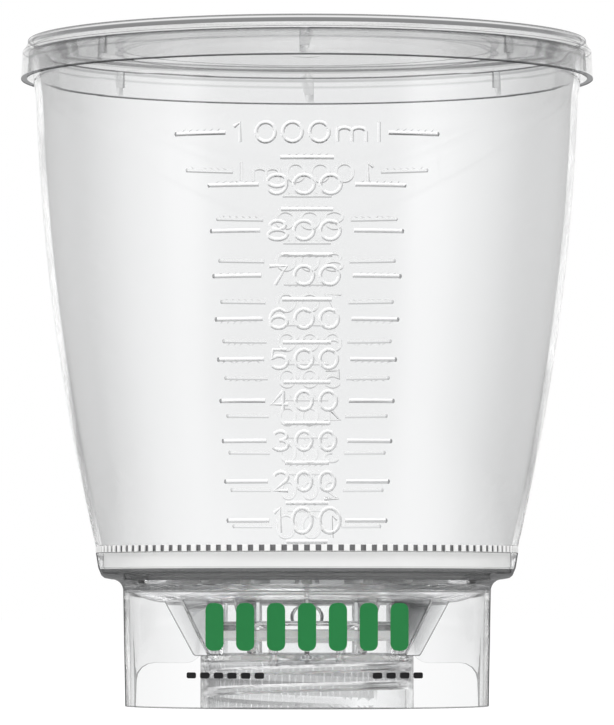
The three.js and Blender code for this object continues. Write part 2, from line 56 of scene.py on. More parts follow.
MM = 0.001
TURN = 2 * math.pi
ROUND_STEPS = 240            # facets round the large pieces
SMALL_STEPS = 48             # facets round the hose barb and its bore
CORNER_STEPS = 4             # facets round a filleted corner
FILLET_LIMIT = 0.48          # share of a section's side that a corner's fillet may take
WELD = 1e-7
SMOOTH_LIMIT = math.radians(32)
CORNER_LIMIT = 1.2 * MM      # corners rounder than this get no painted shade line
MARK_MARGIN = 0.02 * MM      # a face this far outside the wall belongs to a raised mark
FRONT = math.radians(-90)    # where the scale is read
BACK = math.radians(90)      # where the hose barb leaves


# ---------------------------------------------------------------------------------------------
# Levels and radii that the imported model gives
# ---------------------------------------------------------------------------------------------

def low(node):
    """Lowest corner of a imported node's box."""
    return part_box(node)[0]


def high(node):
    """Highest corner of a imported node's box."""
    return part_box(node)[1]


FUNNEL_FOOT = low("funnel")[2]
FUNNEL_TOP = high("funnel")[2]
FUNNEL_RIM = high("funnel")[0]
LID_FOOT = low("lid")[2]
LID_RADIUS = high("lid")[0]
LID_TOP = high("lid")[2]
FLANGE = 1.5 * MM            # thickness of the clamp ring's toothed flange
COLLAR_TOP = high("clamp_ring")[2] - FLANGE
COLLAR_RADIUS = high("clamp_ring")[0]
LEDGE = low("membrane")[2]
MEMBRANE_TOP = high("membrane")[2]
MEMBRANE_RADIUS = high("membrane")[0]
DISH_FLOOR = low("support_plate")[2]
PLATE_RADIUS = high("support_plate")[0]
NECK_CEILING = high("gasket")[2]
GASKET_FOOT = low("gasket")[2]
GASKET_RADIUS = high("gasket")[0]
BARB_TIP = high("base")[1]


# ---------------------------------------------------------------------------------------------
# Sizes and colours that can be changed
# ---------------------------------------------------------------------------------------------

def length(label, millimetres, note):
    """Setting that is a length, with its default in millimetres."""
    return FloatProperty(name=label, description=note, default=millimetres * MM, unit="LENGTH", precision=5)


def count(label, number, note):
    """Setting that is a whole number."""
    return IntProperty(name=label, description=note, default=number, min=1)


def turn(label, degrees, note):
    """Setting that is an angle, with its default in degrees."""
    return FloatProperty(name=label, description=note, default=math.radians(degrees), unit="ROTATION")


def share(label, number, note):
    """Setting between 0 and 1."""
    return FloatProperty(name=label, description=note, default=number, min=0.0, max=1.0, subtype="FACTOR")


def colour(label, rgb, note):
    """Setting that is a colour."""
    return FloatVectorProperty(name=label, description=note, default=rgb, size=3, min=0.0, max=1.0,
                               subtype="COLOR")


class FunnelSizes(bpy.types.PropertyGroup):
    """Sizes of the funnel and of the scale raised on it."""
    foot_radius: length("Foot radius", 50.0, "Outer radius where the funnel meets the clamp ring")
    shoulder_radius: length("Shoulder radius", 64.3, "Outer radius below the rim band")
    rim_band: length("Rim band", 10.6, "Height of the straighter band under the rim")
    bulge: length("Bulge", 2.7, "How far the side swells past a straight cone")
    wall: length("Wall", 1.6, "Thickness of the funnel's wall")
    line_width: length("Line width", 1.00, "Width of a scale line at its root")
    line_height: length("Line height", 0.35, "How far the scale stands off the wall")


class LidSizes(bpy.types.PropertyGroup):
    """Sizes of the lid."""
    panel: length("Panel", 1.4, "Thickness of the lid's panel")
    wall: length("Skirt wall", 1.4, "Thickness of the lid's skirt")
    draft: length("Skirt draft", 0.4, "How much wider the skirt is at its foot")
    gap: length("Skirt gap", 0.9, "From the funnel's rim to the lid's skirt")
    chamfer: length("Chamfer", 1.2, "Width of the chamfer below the stacking ring")
    ring_width: length("Stacking ring", 1.4, "Width of the raised ring on the lid")
    step_radius: length("Step radius", 44.5, "Radius of the shallow step in the panel")
    step: length("Step", 0.2, "Depth of the shallow step in the panel")
    lugs: count("Lugs", 8, "Ribs inside the skirt that centre the lid")
    lug_turn: turn("Lug turn", -0.45, "How far the lid is turned on the funnel")


class BaseSizes(bpy.types.PropertyGroup):
    """Sizes of the clear base."""
    skirt_radius: length("Skirt radius", 43.0, "Outer radius of the skirt at its foot")
    skirt_draft: length("Skirt draft", 0.5, "How much wider the skirt is at its top")
    skirt_height: length("Skirt height", 27.3, "Height of the skirt up to the collar")
    skirt_wall: length("Skirt wall", 1.2, "Thickness of the skirt")
    collar_wall: length("Collar wall", 1.6, "Thickness of the collar above its ledge")
    ledge_width: length("Ledge width", 5.0, "Width of the ledge under the membrane's edge")
    thread_radius: length("Thread radius", 23.4, "Root radius of the neck's thread")
    thread_crest: length("Thread crest", 22.0, "Crest radius of the neck's thread")
    thread_pitch: length("Thread pitch", 4.2, "Rise of the thread in one turn")
    neck_wall: length("Neck wall", 1.8, "Thickness of the threaded neck")
    neck_height: length("Neck height", 12.9, "Height of the threaded part of the neck")
    gussets: count("Gussets", 12, "Webs between the neck and the dish")
    gusset_wall: length("Gusset wall", 1.2, "Thickness of a gusset")


class InnerSizes(bpy.types.PropertyGroup):
    """Sizes of the white pieces between the base and the funnel."""
    teeth: count("Teeth", 120, "Teeth round the clamp ring's flange")
    tooth_depth: length("Tooth depth", 0.6, "Depth of the notches between the teeth")
    ring_wall: length("Ring wall", 1.2, "Thickness of the clamp ring's wall")
    plate_wall: length("Plate", 1.6, "Thickness of the support plate")
    slot_rings: count("Slot rings", 4, "Rings of slots in the support plate")
    rib: length("Rib", 1.2, "Width of the ribs between the slots")
    gasket_width: length("Gasket width", 5.1, "Width of the gasket ring")


class FinishColours(bpy.types.PropertyGroup):
    """Colours of the finishes."""
    clear: colour("Clear plastic", (0.985, 0.988, 0.99), "Colour of light through the clear plastic")
    clear_ior: FloatProperty(name="Clear bending", description="How strongly the clear walls bend light",
                             default=1.15, min=1.0, max=2.0)
    # Painted highlight and painted shade on the slopes of the raised marks
    mark_light: share("Mark light", 0.85, "How white the lit slopes of the raised marks are")
    mark_shade: colour("Mark shade", (0.42, 0.42, 0.425), "Shaded slopes of the raised marks")
    # Painted shade: dark lines along the clear plastic's tight corners
    corner: share("Corner lines", 0.7, "How dark the clear plastic's tight corners are")
    # Painted shade: the colour that the dark bands and lines of the clear plastic's masks are filtered
    # through
    shade_painted: colour("Thick plastic", (0.35, 0.352, 0.356), "Light through clear plastic where it is thick")
    white: colour("White plastic", (0.90, 0.90, 0.895), "Clamp ring and support plate")
    # Painted shade on the floor of the notches between the ring's teeth
    notch: colour("Notch", (0.17, 0.17, 0.175), "Floor of the notches between the ring's teeth")
    silicone: colour("Silicone", (0.95, 0.95, 0.945), "Gasket")
    membrane: colour("Membrane", (0.86, 0.86, 0.85), "Filter membrane")
    print_green: colour("Green print", (0.019, 0.207, 0.057), "Large print on the skirt")
    print_dark: colour("Dark print", (0.012, 0.012, 0.013), "Small print on the skirt")


class StageSettings(bpy.types.PropertyGroup):
    """Camera, floor and light."""
    distance: length("Camera distance", 1398.0, "From the unit's axis to the camera")
    eye_height: length("Eye height", 23.9, "Height of the camera over the floor")
    tilt: turn("Tilt", 2.355, "How far the camera looks up")
    lens: FloatProperty(name="Lens", description="Focal length", default=292.97, unit="CAMERA")
    room_light: share("Room light", 0.77, "Light from all round on the white pieces")
    lamp_power: FloatProperty(name="Lamp power", description="Power of each soft lamp", default=4.5,
                              unit="POWER")
    shadow: share("Shadow", 0.30, "How much of the floor's white the shadow can take away")


class UnitSettings(bpy.types.PropertyGroup):
    """All settings of the filtration unit."""
    funnel: PointerProperty(type=FunnelSizes)
    lid: PointerProperty(type=LidSizes)
    base: PointerProperty(type=BaseSizes)
    inner: PointerProperty(type=InnerSizes)
    finish: PointerProperty(type=FinishColours)
    stage: PointerProperty(type=StageSettings)


# ---------------------------------------------------------------------------------------------
# Sections and outlines, as lists of two-dimensional points
# ---------------------------------------------------------------------------------------------

def filleted(corners, closed=True):
    """Points of a section whose corners are (radius, height) or (radius, height, fillet)."""
    points = []
    last = len(corners) - 1
    for i, corner in enumerate(corners):
        here = Vector(corner[:2])
        fillet = corner[2] if len(corner) > 2 else 0.0
        if not fillet or (not closed and i in (0, last)):
            points.append(here)
            continue
        before = Vector(corners[i - 1][:2]) - here
        after = Vector(corners[(i + 1) % len(corners)][:2]) - here
        half = before.angle(after) / 2
        reach = min(fillet / math.tan(half), FILLET_LIMIT * before.length, FILLET_LIMIT * after.length)
        centre = here + (before.normalized() + after.normalized()).normalized() * reach / math.cos(half)
        start = here + before.normalized() * reach - centre
        end = here + after.normalized() * reach - centre
        shares = [step / CORNER_STEPS for step in range(CORNER_STEPS + 1)]
        points += [centre + start.slerp(end, t) * start.length for t in shares]
    return points


def arc(centre, radius, start, end, steps):
    """Points on an arc between two angles in degrees."""
    angles = [math.radians(start + (end - start) * step / steps) for step in range(steps + 1)]
    return [Vector((centre[0] + radius * math.cos(a), centre[1] + radius * math.sin(a))) for a in angles]


def bowed(start, end, rise, steps):
    """Points on the circular arc that joins two points and stands off their chord by a rise."""
    start, end = Vector(start), Vector(end)
    chord = end - start
    side = Vector((chord.y, -chord.x)).normalized()
    radius = (chord.length_squared / 4 + rise * rise) / (2 * rise)
    half = math.asin(chord.length / (2 * radius))
    points = []
    for step in range(steps + 1):
        angle = -half + 2 * half * step / steps
        along = radius * math.sin(angle) / chord.length + 0.5
        points.append(start + chord * along + side * (radius * math.cos(angle) - radius + rise))
    return points


def eased(start, middle, end, steps):
    """Points on the quadratic curve from start to end that leaves and arrives by way of middle."""
    start, middle, end = Vector(start), Vector(middle), Vector(end)
    shares = [step / steps for step in range(steps + 1)]
    return [start * (1 - t) ** 2 + middle * 2 * t * (1 - t) + end * t ** 2 for t in shares]


def radius_at(side, height):
    """Radius of a side, given as rising (radius, height) points, at a height."""
    for below, above in zip(side, side[1:]):
        if below[1] <= height <= above[1]:
            part = (height - below[1]) / (above[1] - below[1])
            return below[0] + (above[0] - below[0]) * part
    raise ValueError(f"no radius at height {height}")


# ---------------------------------------------------------------------------------------------
# Solids, each a bmesh
# ---------------------------------------------------------------------------------------------

def closed_up(solid):
    """Weld a solid's doubles, fill its end faces and turn its faces outwards."""
    bmesh.ops.remove_doubles(solid, verts=solid.verts, dist=WELD)
    rims = [edge for edge in solid.edges if edge.is_boundary]
    if rims:
        bmesh.ops.holes_fill(solid, edges=rims, sides=0)
    bmesh.ops.recalc_face_normals(solid, faces=solid.faces)
    return solid


def spun(section, steps=ROUND_STEPS, start=0.0, angle=TURN, rise=0.0):
    """Solid of revolution about Z from a section of (radius, height) points."""
    solid = bmesh.new()
    heading = (math.cos(start), math.sin(start))
    chain = [solid.verts.new((r * heading[0], r * heading[1], z)) for r, z in section]
    on_axis = abs(section[0][0]) < WELD and abs(section[-1][0]) < WELD
    following = chain[1:] if on_axis else chain[1:] + chain[:1]
    edges = [solid.edges.new(pair) for pair in zip(chain, following)]
    bmesh.ops.spin(solid, geom=chain + edges, cent=(0, 0, 0), axis=(0, 0, 1), dvec=(0, 0, rise / steps),
                   angle=angle, steps=steps, use_merge=angle == TURN and not rise)
    return closed_up(solid)


def slab(outline, front, back):
    """Solid between two places along Y from an outline of (x, z) points."""
    solid = bmesh.new()
    face = solid.faces.new([solid.verts.new((x, front, z)) for x, z in outline])
    grown = bmesh.ops.extrude_face_region(solid, geom=[face])["geom"]
    far_side = [item for item in grown if isinstance(item, bmesh.types.BMVert)]
    bmesh.ops.translate(solid, vec=(0, back - front, 0), verts=far_side)
    return closed_up(solid)


def facing_out(solid):
    """The same closed solid with its faces outwards, if bending it turned it inside out."""
    if solid.calc_volume(signed=True) < 0:
        bmesh.ops.reverse_faces(solid, faces=solid.faces)
    return solid


def turned(solid, angle, axis="Z"):
    """The same solid turned about an axis through the origin."""
    bmesh.ops.rotate(solid, cent=(0, 0, 0), matrix=Matrix.Rotation(angle, 3, axis), verts=solid.verts)
    return solid


def moved(solid, x, y, z):
    """The same solid moved along the three axes."""
    bmesh.ops.translate(solid, vec=(x, y, z), verts=solid.verts)
    return solid


def around(solid, number, start=0.0):
    """Copies of a solid at even turns about Z, as a list. The solid is used up."""
    copies = [turned(solid.copy(), start + TURN * i / number) for i in range(number)]
    solid.free()
    return copies


def gathered(solids):
    """One bmesh that holds several solids, which are used up."""
    whole = bmesh.new()
    for solid in solids:
        data = bpy.data.meshes.new("gathered")
        solid.to_mesh(data)
        solid.free()
        whole.from_mesh(data)
        bpy.data.meshes.remove(data)
    return whole


def as_object(solid, name):
    """A linked object with a solid's mesh. The solid is used up."""
    data = bpy.data.meshes.new(name)
    solid.to_mesh(data)
    solid.free()
    piece = bpy.data.objects.new(name, data)
    bpy.context.scene.collection.objects.link(piece)
    return piece


def discard(piece):
    """Remove a helper object and its mesh or curve."""
    store = bpy.data.meshes if piece.type == "MESH" else bpy.data.curves
    data = piece.data
    bpy.data.objects.remove(piece)
    store.remove(data)


def combined(operation, solid, others):
    """A solid joined with others (UNION) or cut by them (DIFFERENCE). All of them are used up."""
    body = as_object(solid, "combine_body")
    tool = as_object(gathered(others), "combine_tool")
    change = body.modifiers.new("Combine", "BOOLEAN")
    change.operation = operation
    change.solver = "MANIFOLD"
    change.object = tool
    before = len(body.data.polygons)
    result = bmesh.new()
    result.from_object(body, bpy.context.evaluated_depsgraph_get())
    discard(body)
    discard(tool)
    bmesh.ops.dissolve_degenerate(result, edges=result.edges, dist=WELD)
    if len(result.faces) == before or any(not edge.is_manifold for edge in result.edges):
        raise RuntimeError(f"{operation} left an open or unchanged solid")
    return result


def lined(solid, raised_past=None):
    """The same solid with the painted shade of its tight corners noted on its vertices.

    Faces that are raised past a side, given as rising (radius, height) points, get its second material.
    """
    line = solid.verts.layers.float.new("painted_corner_shade")
    if raised_past:
        for face in solid.faces:
            middle = face.calc_center_median()
            height = min(max(middle.z, raised_past[0][1]), raised_past[-1][1])
            wall = radius_at(raised_past, height)
            face.material_index = int(math.hypot(middle.x, middle.y) > wall + MARK_MARGIN)
    for vert in solid.verts:
        if any(face.material_index for face in vert.link_faces):
            continue
        bend = 0.0
        for edge in vert.link_edges:
            across = sum(face.calc_area() for face in edge.link_faces) / 2 / edge.calc_length()
            bend = max(bend, edge.calc_face_angle(0.0) / across)
        vert[line] = min(1.0, max(0.0, bend * CORNER_LIMIT - 1.0))
    return solid


def finished(solid, name, node, material):
    """The finished piece of a solid: smooth, in its finish, on its body and in its node's place."""
    piece = as_object(solid, name)
    piece.data.shade_smooth()
    piece.data.set_sharp_from_angle(angle=SMOOTH_LIMIT)
    piece.data.materials.append(material)
    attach(piece, "root")
    if node:
        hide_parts(node)
    return piece


# ---------------------------------------------------------------------------------------------
# Shader building
# ---------------------------------------------------------------------------------------------

WHITE = (1, 1, 1, 1)


def rgba(rgb):
    """A colour setting as an opaque colour."""
    return (*rgb, 1.0)


def grey(level):
    """Opaque grey of a level."""
    return (level, level, level, 1.0)


class Nodes:
    """Short way to add and link the nodes of one tree."""

    def __init__(self, tree):
        self.tree = tree

    def feed(self, socket, value):
        """Link a socket to the one that is given, or set it to a plain value."""
        if isinstance(value, bpy.types.NodeSocket):
            self.tree.links.new(value, socket)
        else:
            socket.default_value = value

    def add(self, kind, inputs=None, **settings):
        """New node with its settings, and with inputs fed by their names or numbers."""
        node = self.tree.nodes.new(kind)
        for name, value in settings.items():
            setattr(node, name, value)
        for key, value in (inputs or {}).items():
            self.feed(node.inputs[key], value)
        return node

    def math(self, operation, first, *others):
        """Result of a math operation on one value, or in turn on two or more."""
        for other in others or (0.0,):
            first = self.add("ShaderNodeMath", {0: first, 1: other}, operation=operation).outputs[0]
        return first

    def times(self, *values):
        """Values multiplied."""
        return self.math("MULTIPLY", *values)

    def plus(self, *values):
        """Values added."""
        return self.math("ADD", *values)

    def largest(self, *values):
        """Largest of the values."""
        return self.math("MAXIMUM", *values)

    def over(self, value, limit):
        """1 where a value is over a limit, and 0 elsewhere."""
        return self.math("GREATER_THAN", value, limit)

    def under(self, value, limit):
        """1 where a value is under a limit, and 0 elsewhere."""
        return self.math("LESS_THAN", value, limit)

    def rest(self, value, part=1.0):
        """What is left of 1 without a part of a value."""
        return self.math("SUBTRACT", 1.0, self.times(value, part))

    def ramp(self, value, stops):
        """Grey ramp through (place, brightness) stops."""
        node = self.add("ShaderNodeValToRGB", {0: value})
        marks = node.color_ramp.elements
        while len(marks) < len(stops):
            marks.new(0.5)
        for mark, (place, level) in zip(marks, stops):
            mark.position = place
            mark.color = grey(level)
        return node.outputs[0]

    def blend(self, amount, first, second):
        """Colour between two."""
        return self.add("ShaderNodeMix", {0: amount, 6: first, 7: second}, data_type="RGBA").outputs[2]

    def product(self, first, second):
        """Colour filtered by another."""
        inputs = {0: 1.0, 6: first, 7: second}
        return self.add("ShaderNodeMix", inputs, data_type="RGBA", blend_type="MULTIPLY").outputs[2]

    def mixed(self, amount, first, second):
        """Shader between two."""
        return self.add("ShaderNodeMixShader", {0: amount, 1: first, 2: second}).outputs[0]

    def vector(self, operation, first, second=(0, 0, 0)):
        """Outputs of a vector operation."""
        return self.add("ShaderNodeVectorMath", {0: first, 1: second}, operation=operation).outputs

    def parts(self, vector):
        """X, Y and Z of a vector."""
        return self.add("ShaderNodeSeparateXYZ", {0: vector}).outputs

    def place(self):
        """X, Y and Z of a point of the piece."""
        return self.parts(self.add("ShaderNodeTexCoord").outputs["Object"])

    def face(self, output):
        """What is known of the face: its Normal, or whether it is Backfacing."""
        return self.add("ShaderNodeNewGeometry").outputs[output]


def new_group(name, inputs, outputs):
    """Empty shader group with (name, kind, default) inputs and (name, kind) outputs."""
    group = bpy.data.node_groups.new(name, "ShaderNodeTree")
    for label, kind, default in inputs:
        socket = group.interface.new_socket(label, in_out="INPUT", socket_type=kind)
        socket.default_value = default
    for label, kind in outputs:
        group.interface.new_socket(label, in_out="OUTPUT", socket_type=kind)
    nodes = Nodes(group)
    return nodes, nodes.add("NodeGroupInput").outputs, nodes.add("NodeGroupOutput").inputs


def moulded_surface_group():
    """Faint flow marks of a moulded face: a colour, a roughness and a height that drift over it."""
    name = "Moulded surface"
    if name in bpy.data.node_groups:
        return bpy.data.node_groups[name]
    nodes, given, out = new_group(
        name,
        [("Color", "NodeSocketColor", (0.8, 0.8, 0.8, 1)), ("Shade", "NodeSocketFloat", 0.03),
         ("Roughness", "NodeSocketFloat", 0.3), ("Roughness spread", "NodeSocketFloat", 0.1),
         ("Grain scale", "NodeSocketFloat", 900.0)],
        [("Color", "NodeSocketColor"), ("Roughness", "NodeSocketFloat"), ("Height", "NodeSocketFloat")])
    place = nodes.add("ShaderNodeTexCoord").outputs["Object"]
    flow = nodes.add("ShaderNodeTexNoise",
                     {"Vector": place, "Scale": 38.0, "Detail": 3.0, "Distortion": 0.6}).outputs[0]
    grain = nodes.add("ShaderNodeTexNoise",
                      {"Vector": place, "Scale": given["Grain scale"], "Detail": 2.0}).outputs[0]
    drift = nodes.math("SUBTRACT", flow, 0.5)
    level = nodes.plus(nodes.times(drift, given["Shade"]), 1.0)
    shaded = nodes.add("ShaderNodeVectorMath", {0: given["Color"], "Scale": level}, operation="SCALE")
    change = nodes.times(drift, given["Roughness spread"])
    nodes.feed(out["Color"], shaded.outputs[0])
    nodes.feed(out["Roughness"], nodes.plus(given["Roughness"], change))
    nodes.feed(out["Height"], nodes.plus(flow, nodes.times(grain, 0.4)))
    return nodes.tree


def new_material(name):
    """Empty material with its Principled shader joined to its output."""
    material = bpy.data.materials.new(name)
    material.use_nodes = True
    material.node_tree.nodes.clear()
    nodes = Nodes(material.node_tree)
    shader = nodes.add("ShaderNodeBsdfPrincipled")
    output = nodes.add("ShaderNodeOutputMaterial", {"Surface": shader.outputs[0]})
    return material, nodes, shader, output


def moulded(nodes, shader, rgb, shade, roughness, spread, grain, bump, depth=0.05 * MM):
    """Give a shader the moulded surface's colour, roughness and bump, and return the colour's socket."""
    surface = nodes.add("ShaderNodeGroup", {
        "Color": rgba(rgb), "Shade": shade, "Roughness": roughness, "Roughness spread": spread,
        "Grain scale": grain}, node_tree=moulded_surface_group()).outputs
    relief = nodes.add("ShaderNodeBump", {"Strength": bump, "Distance": depth, "Height": surface["Height"]})
    nodes.feed(shader.inputs["Base Color"], surface["Color"])
    nodes.feed(shader.inputs["Roughness"], surface["Roughness"])
    nodes.feed(shader.inputs["Normal"], relief.outputs[0])
    return surface["Color"]


def from_axis(nodes):
    """Distance from the unit's axis and height, as two sockets."""
    x, y, z = nodes.place()
    squares = nodes.plus(nodes.times(x, x), nodes.times(y, y))
    return nodes.math("SQRT", squares), z


# ---------------------------------------------------------------------------------------------
# Clear plastic
# ---------------------------------------------------------------------------------------------

# Painted shade: the light that a clear wall lets through, by how far its face turns from the view (0 is
# square on)
WALL_SHADE = ((0.0, 0.985), (0.16, 1.0), (0.27, 0.98), (0.38, 0.93), (0.50, 0.925), (0.60, 0.94),
              (0.84, 0.97))
EVEN_SHADE = ((0.0, 1.0), (0.5, 0.98), (1.0, 1.0))      # the same on the lid and the base
LOW_VIEW = ((0.70, 0.0), (0.88, 1.0))    # how low the view of a level face is, by how far it turns away
LEVEL_RELIEF = 0.3           # how much less a level face's turn counts
LEVEL_POWER = 4.0            # how soon a face stops being level as it leans
FAR_LOSS = 0.6               # how much weaker marks and dark bands show on the far wall
COAT_IOR = 1.5
LINE_POWER = 0.6             # below 1, it spreads the painted shade lines at tight corners
STRAIGHT_LIGHT = 0.98        # light that a thin part lets straight through
INNER_LIGHT = 0.985          # light that a clear wall lets through to the pieces in and behind it
BAND_SPAN = 10.0             # millimetres that a ramp of dark bands spans


def clear_surface(nodes, shader, finish, **surface):
    """Make a shader clear moulded styrene, and return its colour's socket."""
    shader.inputs["Transmission Weight"].default_value = 1.0
    shader.inputs["IOR"].default_value = finish.clear_ior
    return moulded(nodes, shader, finish.clear, shade=0.01, **surface)


def low_view(nodes, facing, flat):
    """Mask of the level faces that are seen from low down."""
    return nodes.times(flat, nodes.ramp(facing, LOW_VIEW))


def clear_plastic(name, finish, sizes, painted_shade_mask=None, level_shade=0.95, coat=1.0,
                  face_shade=WALL_SHADE, thin=0.0):
    """Clear moulded styrene, with painted shade at its tight corners and in the parts that a mask's maker
    finds.

    The level shade is the light through its level faces in a low view and the face shade the light through
    any face, both painted shade; thin is the share of the light that goes straight through instead of being
    bent.
    """
    material, nodes, shader, output = new_material(name)
    tone = clear_surface(nodes, shader, finish, roughness=0.015, spread=0.02, grain=260.0, bump=0.02)
    for label, value in (("Weight", coat), ("IOR", COAT_IOR), ("Roughness", 0.02)):
        shader.inputs[f"Coat {label}"].default_value = value
    flat = nodes.math("POWER", nodes.math("ABSOLUTE", nodes.parts(nodes.face("Normal"))[2]), LEVEL_POWER)
    facing = nodes.add("ShaderNodeLayerWeight", {"Blend": 0.5}).outputs["Facing"]
    # Painted shade in the base colour, by how far a face turns from the view and how level it is
    shade = nodes.ramp(nodes.times(facing, nodes.rest(flat, LEVEL_RELIEF)), face_shade)
    shade = nodes.product(shade, nodes.blend(low_view(nodes, facing, flat), WHITE, grey(level_shade)))
    nodes.feed(shader.inputs["Base Color"], nodes.product(tone, shade))
    # Painted shade along the tight corners, drawn as a dark filter
    line = nodes.add("ShaderNodeAttribute", attribute_name="painted_corner_shade").outputs["Fac"]
    dark = nodes.times(nodes.math("POWER", line, LINE_POWER), finish.corner)
    if painted_shade_mask:
        dark = nodes.largest(dark, painted_shade_mask(nodes, sizes, facing, flat))
    straight = nodes.add("ShaderNodeBsdfTransparent", {"Color": grey(STRAIGHT_LIGHT)})
    surface = nodes.mixed(thin, shader.outputs[0], straight.outputs[0])
    let_light_through(nodes, surface, output, finish, dark)
    return material


def let_light_through(nodes, surface, output, finish, dark):
    """Filter light through painted shade where a mask darkens the plastic, and let it hardly shade the
    pieces in and behind it.
    """
    path = nodes.add("ShaderNodeLightPath").outputs
    lighting = nodes.largest(path["Is Shadow Ray"], nodes.over(path["Diffuse Depth"], 0.5))
    tone = nodes.blend(lighting, rgba(finish.shade_painted), grey(INNER_LIGHT))
    see_through = nodes.add("ShaderNodeBsdfTransparent", {"Color": tone})
    filtered = nodes.mixed(nodes.largest(lighting, dark), surface, see_through.outputs[0])
    nodes.feed(output.inputs["Surface"], filtered)


def dark_bands(nodes, up, foot, bands):
    """Painted shade by the height over a foot, from (millimetres, darkness) stops."""
    place = nodes.math("DIVIDE", nodes.math("SUBTRACT", up, foot), BAND_SPAN * MM)
    return nodes.ramp(place, [(level / BAND_SPAN, dark) for level, dark in bands])


# ---------------------------------------------------------------------------------------------
# Stage
# ---------------------------------------------------------------------------------------------

# Light round the unit as its walls mirror it: (degrees from the front, level), left and then right
MIRRORED_LEFT = ((180, 1.0), (168, 0.72), (135, 0.53), (112, 0.2), (72, 0.8), (58, 1.0), (50, 0.95),
                 (42, 0.45))
MIRRORED_RIGHT = ((0, 0.45), (36, 0.5), (48, 1.0), (57, 0.8), (72, 0.25), (84, 0.1), (112, 0.15),
                  (135, 0.53), (168, 0.72), (180, 1.0))
# The same as seen straight through the walls: white windows square to the four sides
SEEN_THROUGH = ((0, 1.0), (20, 1.0), (32, 0.55), (58, 0.55), (70, 1.0), (110, 1.0), (122, 0.55),
                (148, 0.55), (160, 1.0), (180, 1.0))
# Level by the sine of the climb, from straight down to straight up
CLIMB = ((-1.0, 1.0), (0.15, 1.0), (0.30, 0.4), (0.65, 0.4), (0.88, 0.9), (1.0, 1.0))
# A low grey board behind the unit, as the lid's underside mirrors it, and where it starts round the unit
LOW_BOARD = ((-0.25, 1.0), (-0.15, 0.4), (-0.06, 0.4), (-0.03, 1.0))
BOARD_START = ((0.80, 0.0), (0.88, 1.0))
FLOOR_RADIUS = 8.0
FLOOR_DROP = 0.02 * MM                     # keeps the floor clear of the skirt's foot
FLOOR_LIGHT = 1.01                         # what the floor shows the camera outside the shadow
WHITE_FLOOR = ((0.10, 1.0), (0.30, 0.0))   # how white clear plastic shows the floor, out from the axis
LAMP_TARGET = (0, 0, 0.07)
LAMPS = (("lamp_left", (-0.8, -0.7, 0.9), 0.7), ("lamp_right", (0.8, -0.7, 0.9), 0.7),
         ("lamp_back", (0.0, 0.9, 1.0), 0.8))      # name, place and width
MANY_BOUNCES = 48                          # light passes many clear walls
GLOSSY_BOUNCES = 12


def surroundings_group():
    """Level of the backdrop, soft boxes and grey boards, as the clear walls mirror or pass them."""
    name = "Surroundings"
    if name in bpy.data.node_groups:
        return bpy.data.node_groups[name]
    nodes, given, out = new_group(
        name, [("Direction", "NodeSocketVector", (0, 1, 0)), ("Mirrored", "NodeSocketFloat", 0.0)],
        [("Level", "NodeSocketColor")])
    right, back, _ = nodes.parts(given["Direction"])
    bearing = nodes.math("ARCTAN2", right, nodes.times(back, -1.0))
    across = nodes.plus(nodes.math("DIVIDE", bearing, TURN), 0.5)
    mirrored = nodes.ramp(across, [(0.5 - degrees / 360, level) for degrees, level in MIRRORED_LEFT]
                          + [(0.5 + degrees / 360, level) for degrees, level in MIRRORED_RIGHT])
    from_front = nodes.math("DIVIDE", nodes.math("ABSOLUTE", bearing), math.pi)
    through = nodes.ramp(from_front, [(degrees / 180, level) for degrees, level in SEEN_THROUGH])
    rise = nodes.parts(nodes.vector("NORMALIZE", given["Direction"])[0])[2]
    height = nodes.plus(nodes.times(rise, 0.5), 0.5)
    climb, low_board = (nodes.ramp(height, [((sine + 1) / 2, level) for sine, level in levels])
                        for levels in (CLIMB, LOW_BOARD))
    behind = nodes.times(given["Mirrored"], nodes.ramp(from_front, BOARD_START))
    climb = nodes.product(climb, nodes.blend(behind, WHITE, low_board))
    around_it = nodes.blend(given["Mirrored"], through, mirrored)
    nodes.feed(out["Level"], nodes.product(around_it, climb))
    return nodes.tree


def surroundings(nodes, direction, mirrored):
    """Level of the surroundings in a direction."""
    return nodes.add("ShaderNodeGroup", {"Direction": direction, "Mirrored": mirrored},
                     node_tree=surroundings_group()).outputs[0]


def seen_rays(nodes):
    """Masks of the rays that mirror or pass through clear plastic, of camera rays and of mirrored rays."""
    path = nodes.add("ShaderNodeLightPath").outputs
    bent = nodes.largest(path["Is Glossy Ray"], path["Is Transmission Ray"])
    plastic = nodes.times(nodes.under(path["Diffuse Depth"], 0.5), bent)
    return plastic, path["Is Camera Ray"], nodes.over(path["Glossy Depth"], 0.5)


def make_world(stage):
    """Even light on the pieces, the surroundings by way of clear plastic, and white to the camera."""
    world = bpy.data.worlds.new("studio")
    bpy.context.scene.world = world
    world.use_nodes = True
    world.node_tree.nodes.clear()
    nodes = Nodes(world.node_tree)
    through, camera, mirrored = seen_rays(nodes)
    direction = nodes.add("ShaderNodeTexCoord").outputs["Generated"]
    boards = surroundings(nodes, direction, mirrored)
    room, shown, white = (
        nodes.add("ShaderNodeBackground", {"Color": tone, "Strength": strength}).outputs[0]
        for tone, strength in ((WHITE, stage.room_light), (boards, 1.0), (WHITE, 1.0)))
    surface = nodes.mixed(camera, nodes.mixed(through, room, shown), white)
    nodes.add("ShaderNodeOutputWorld", {"Surface": surface})


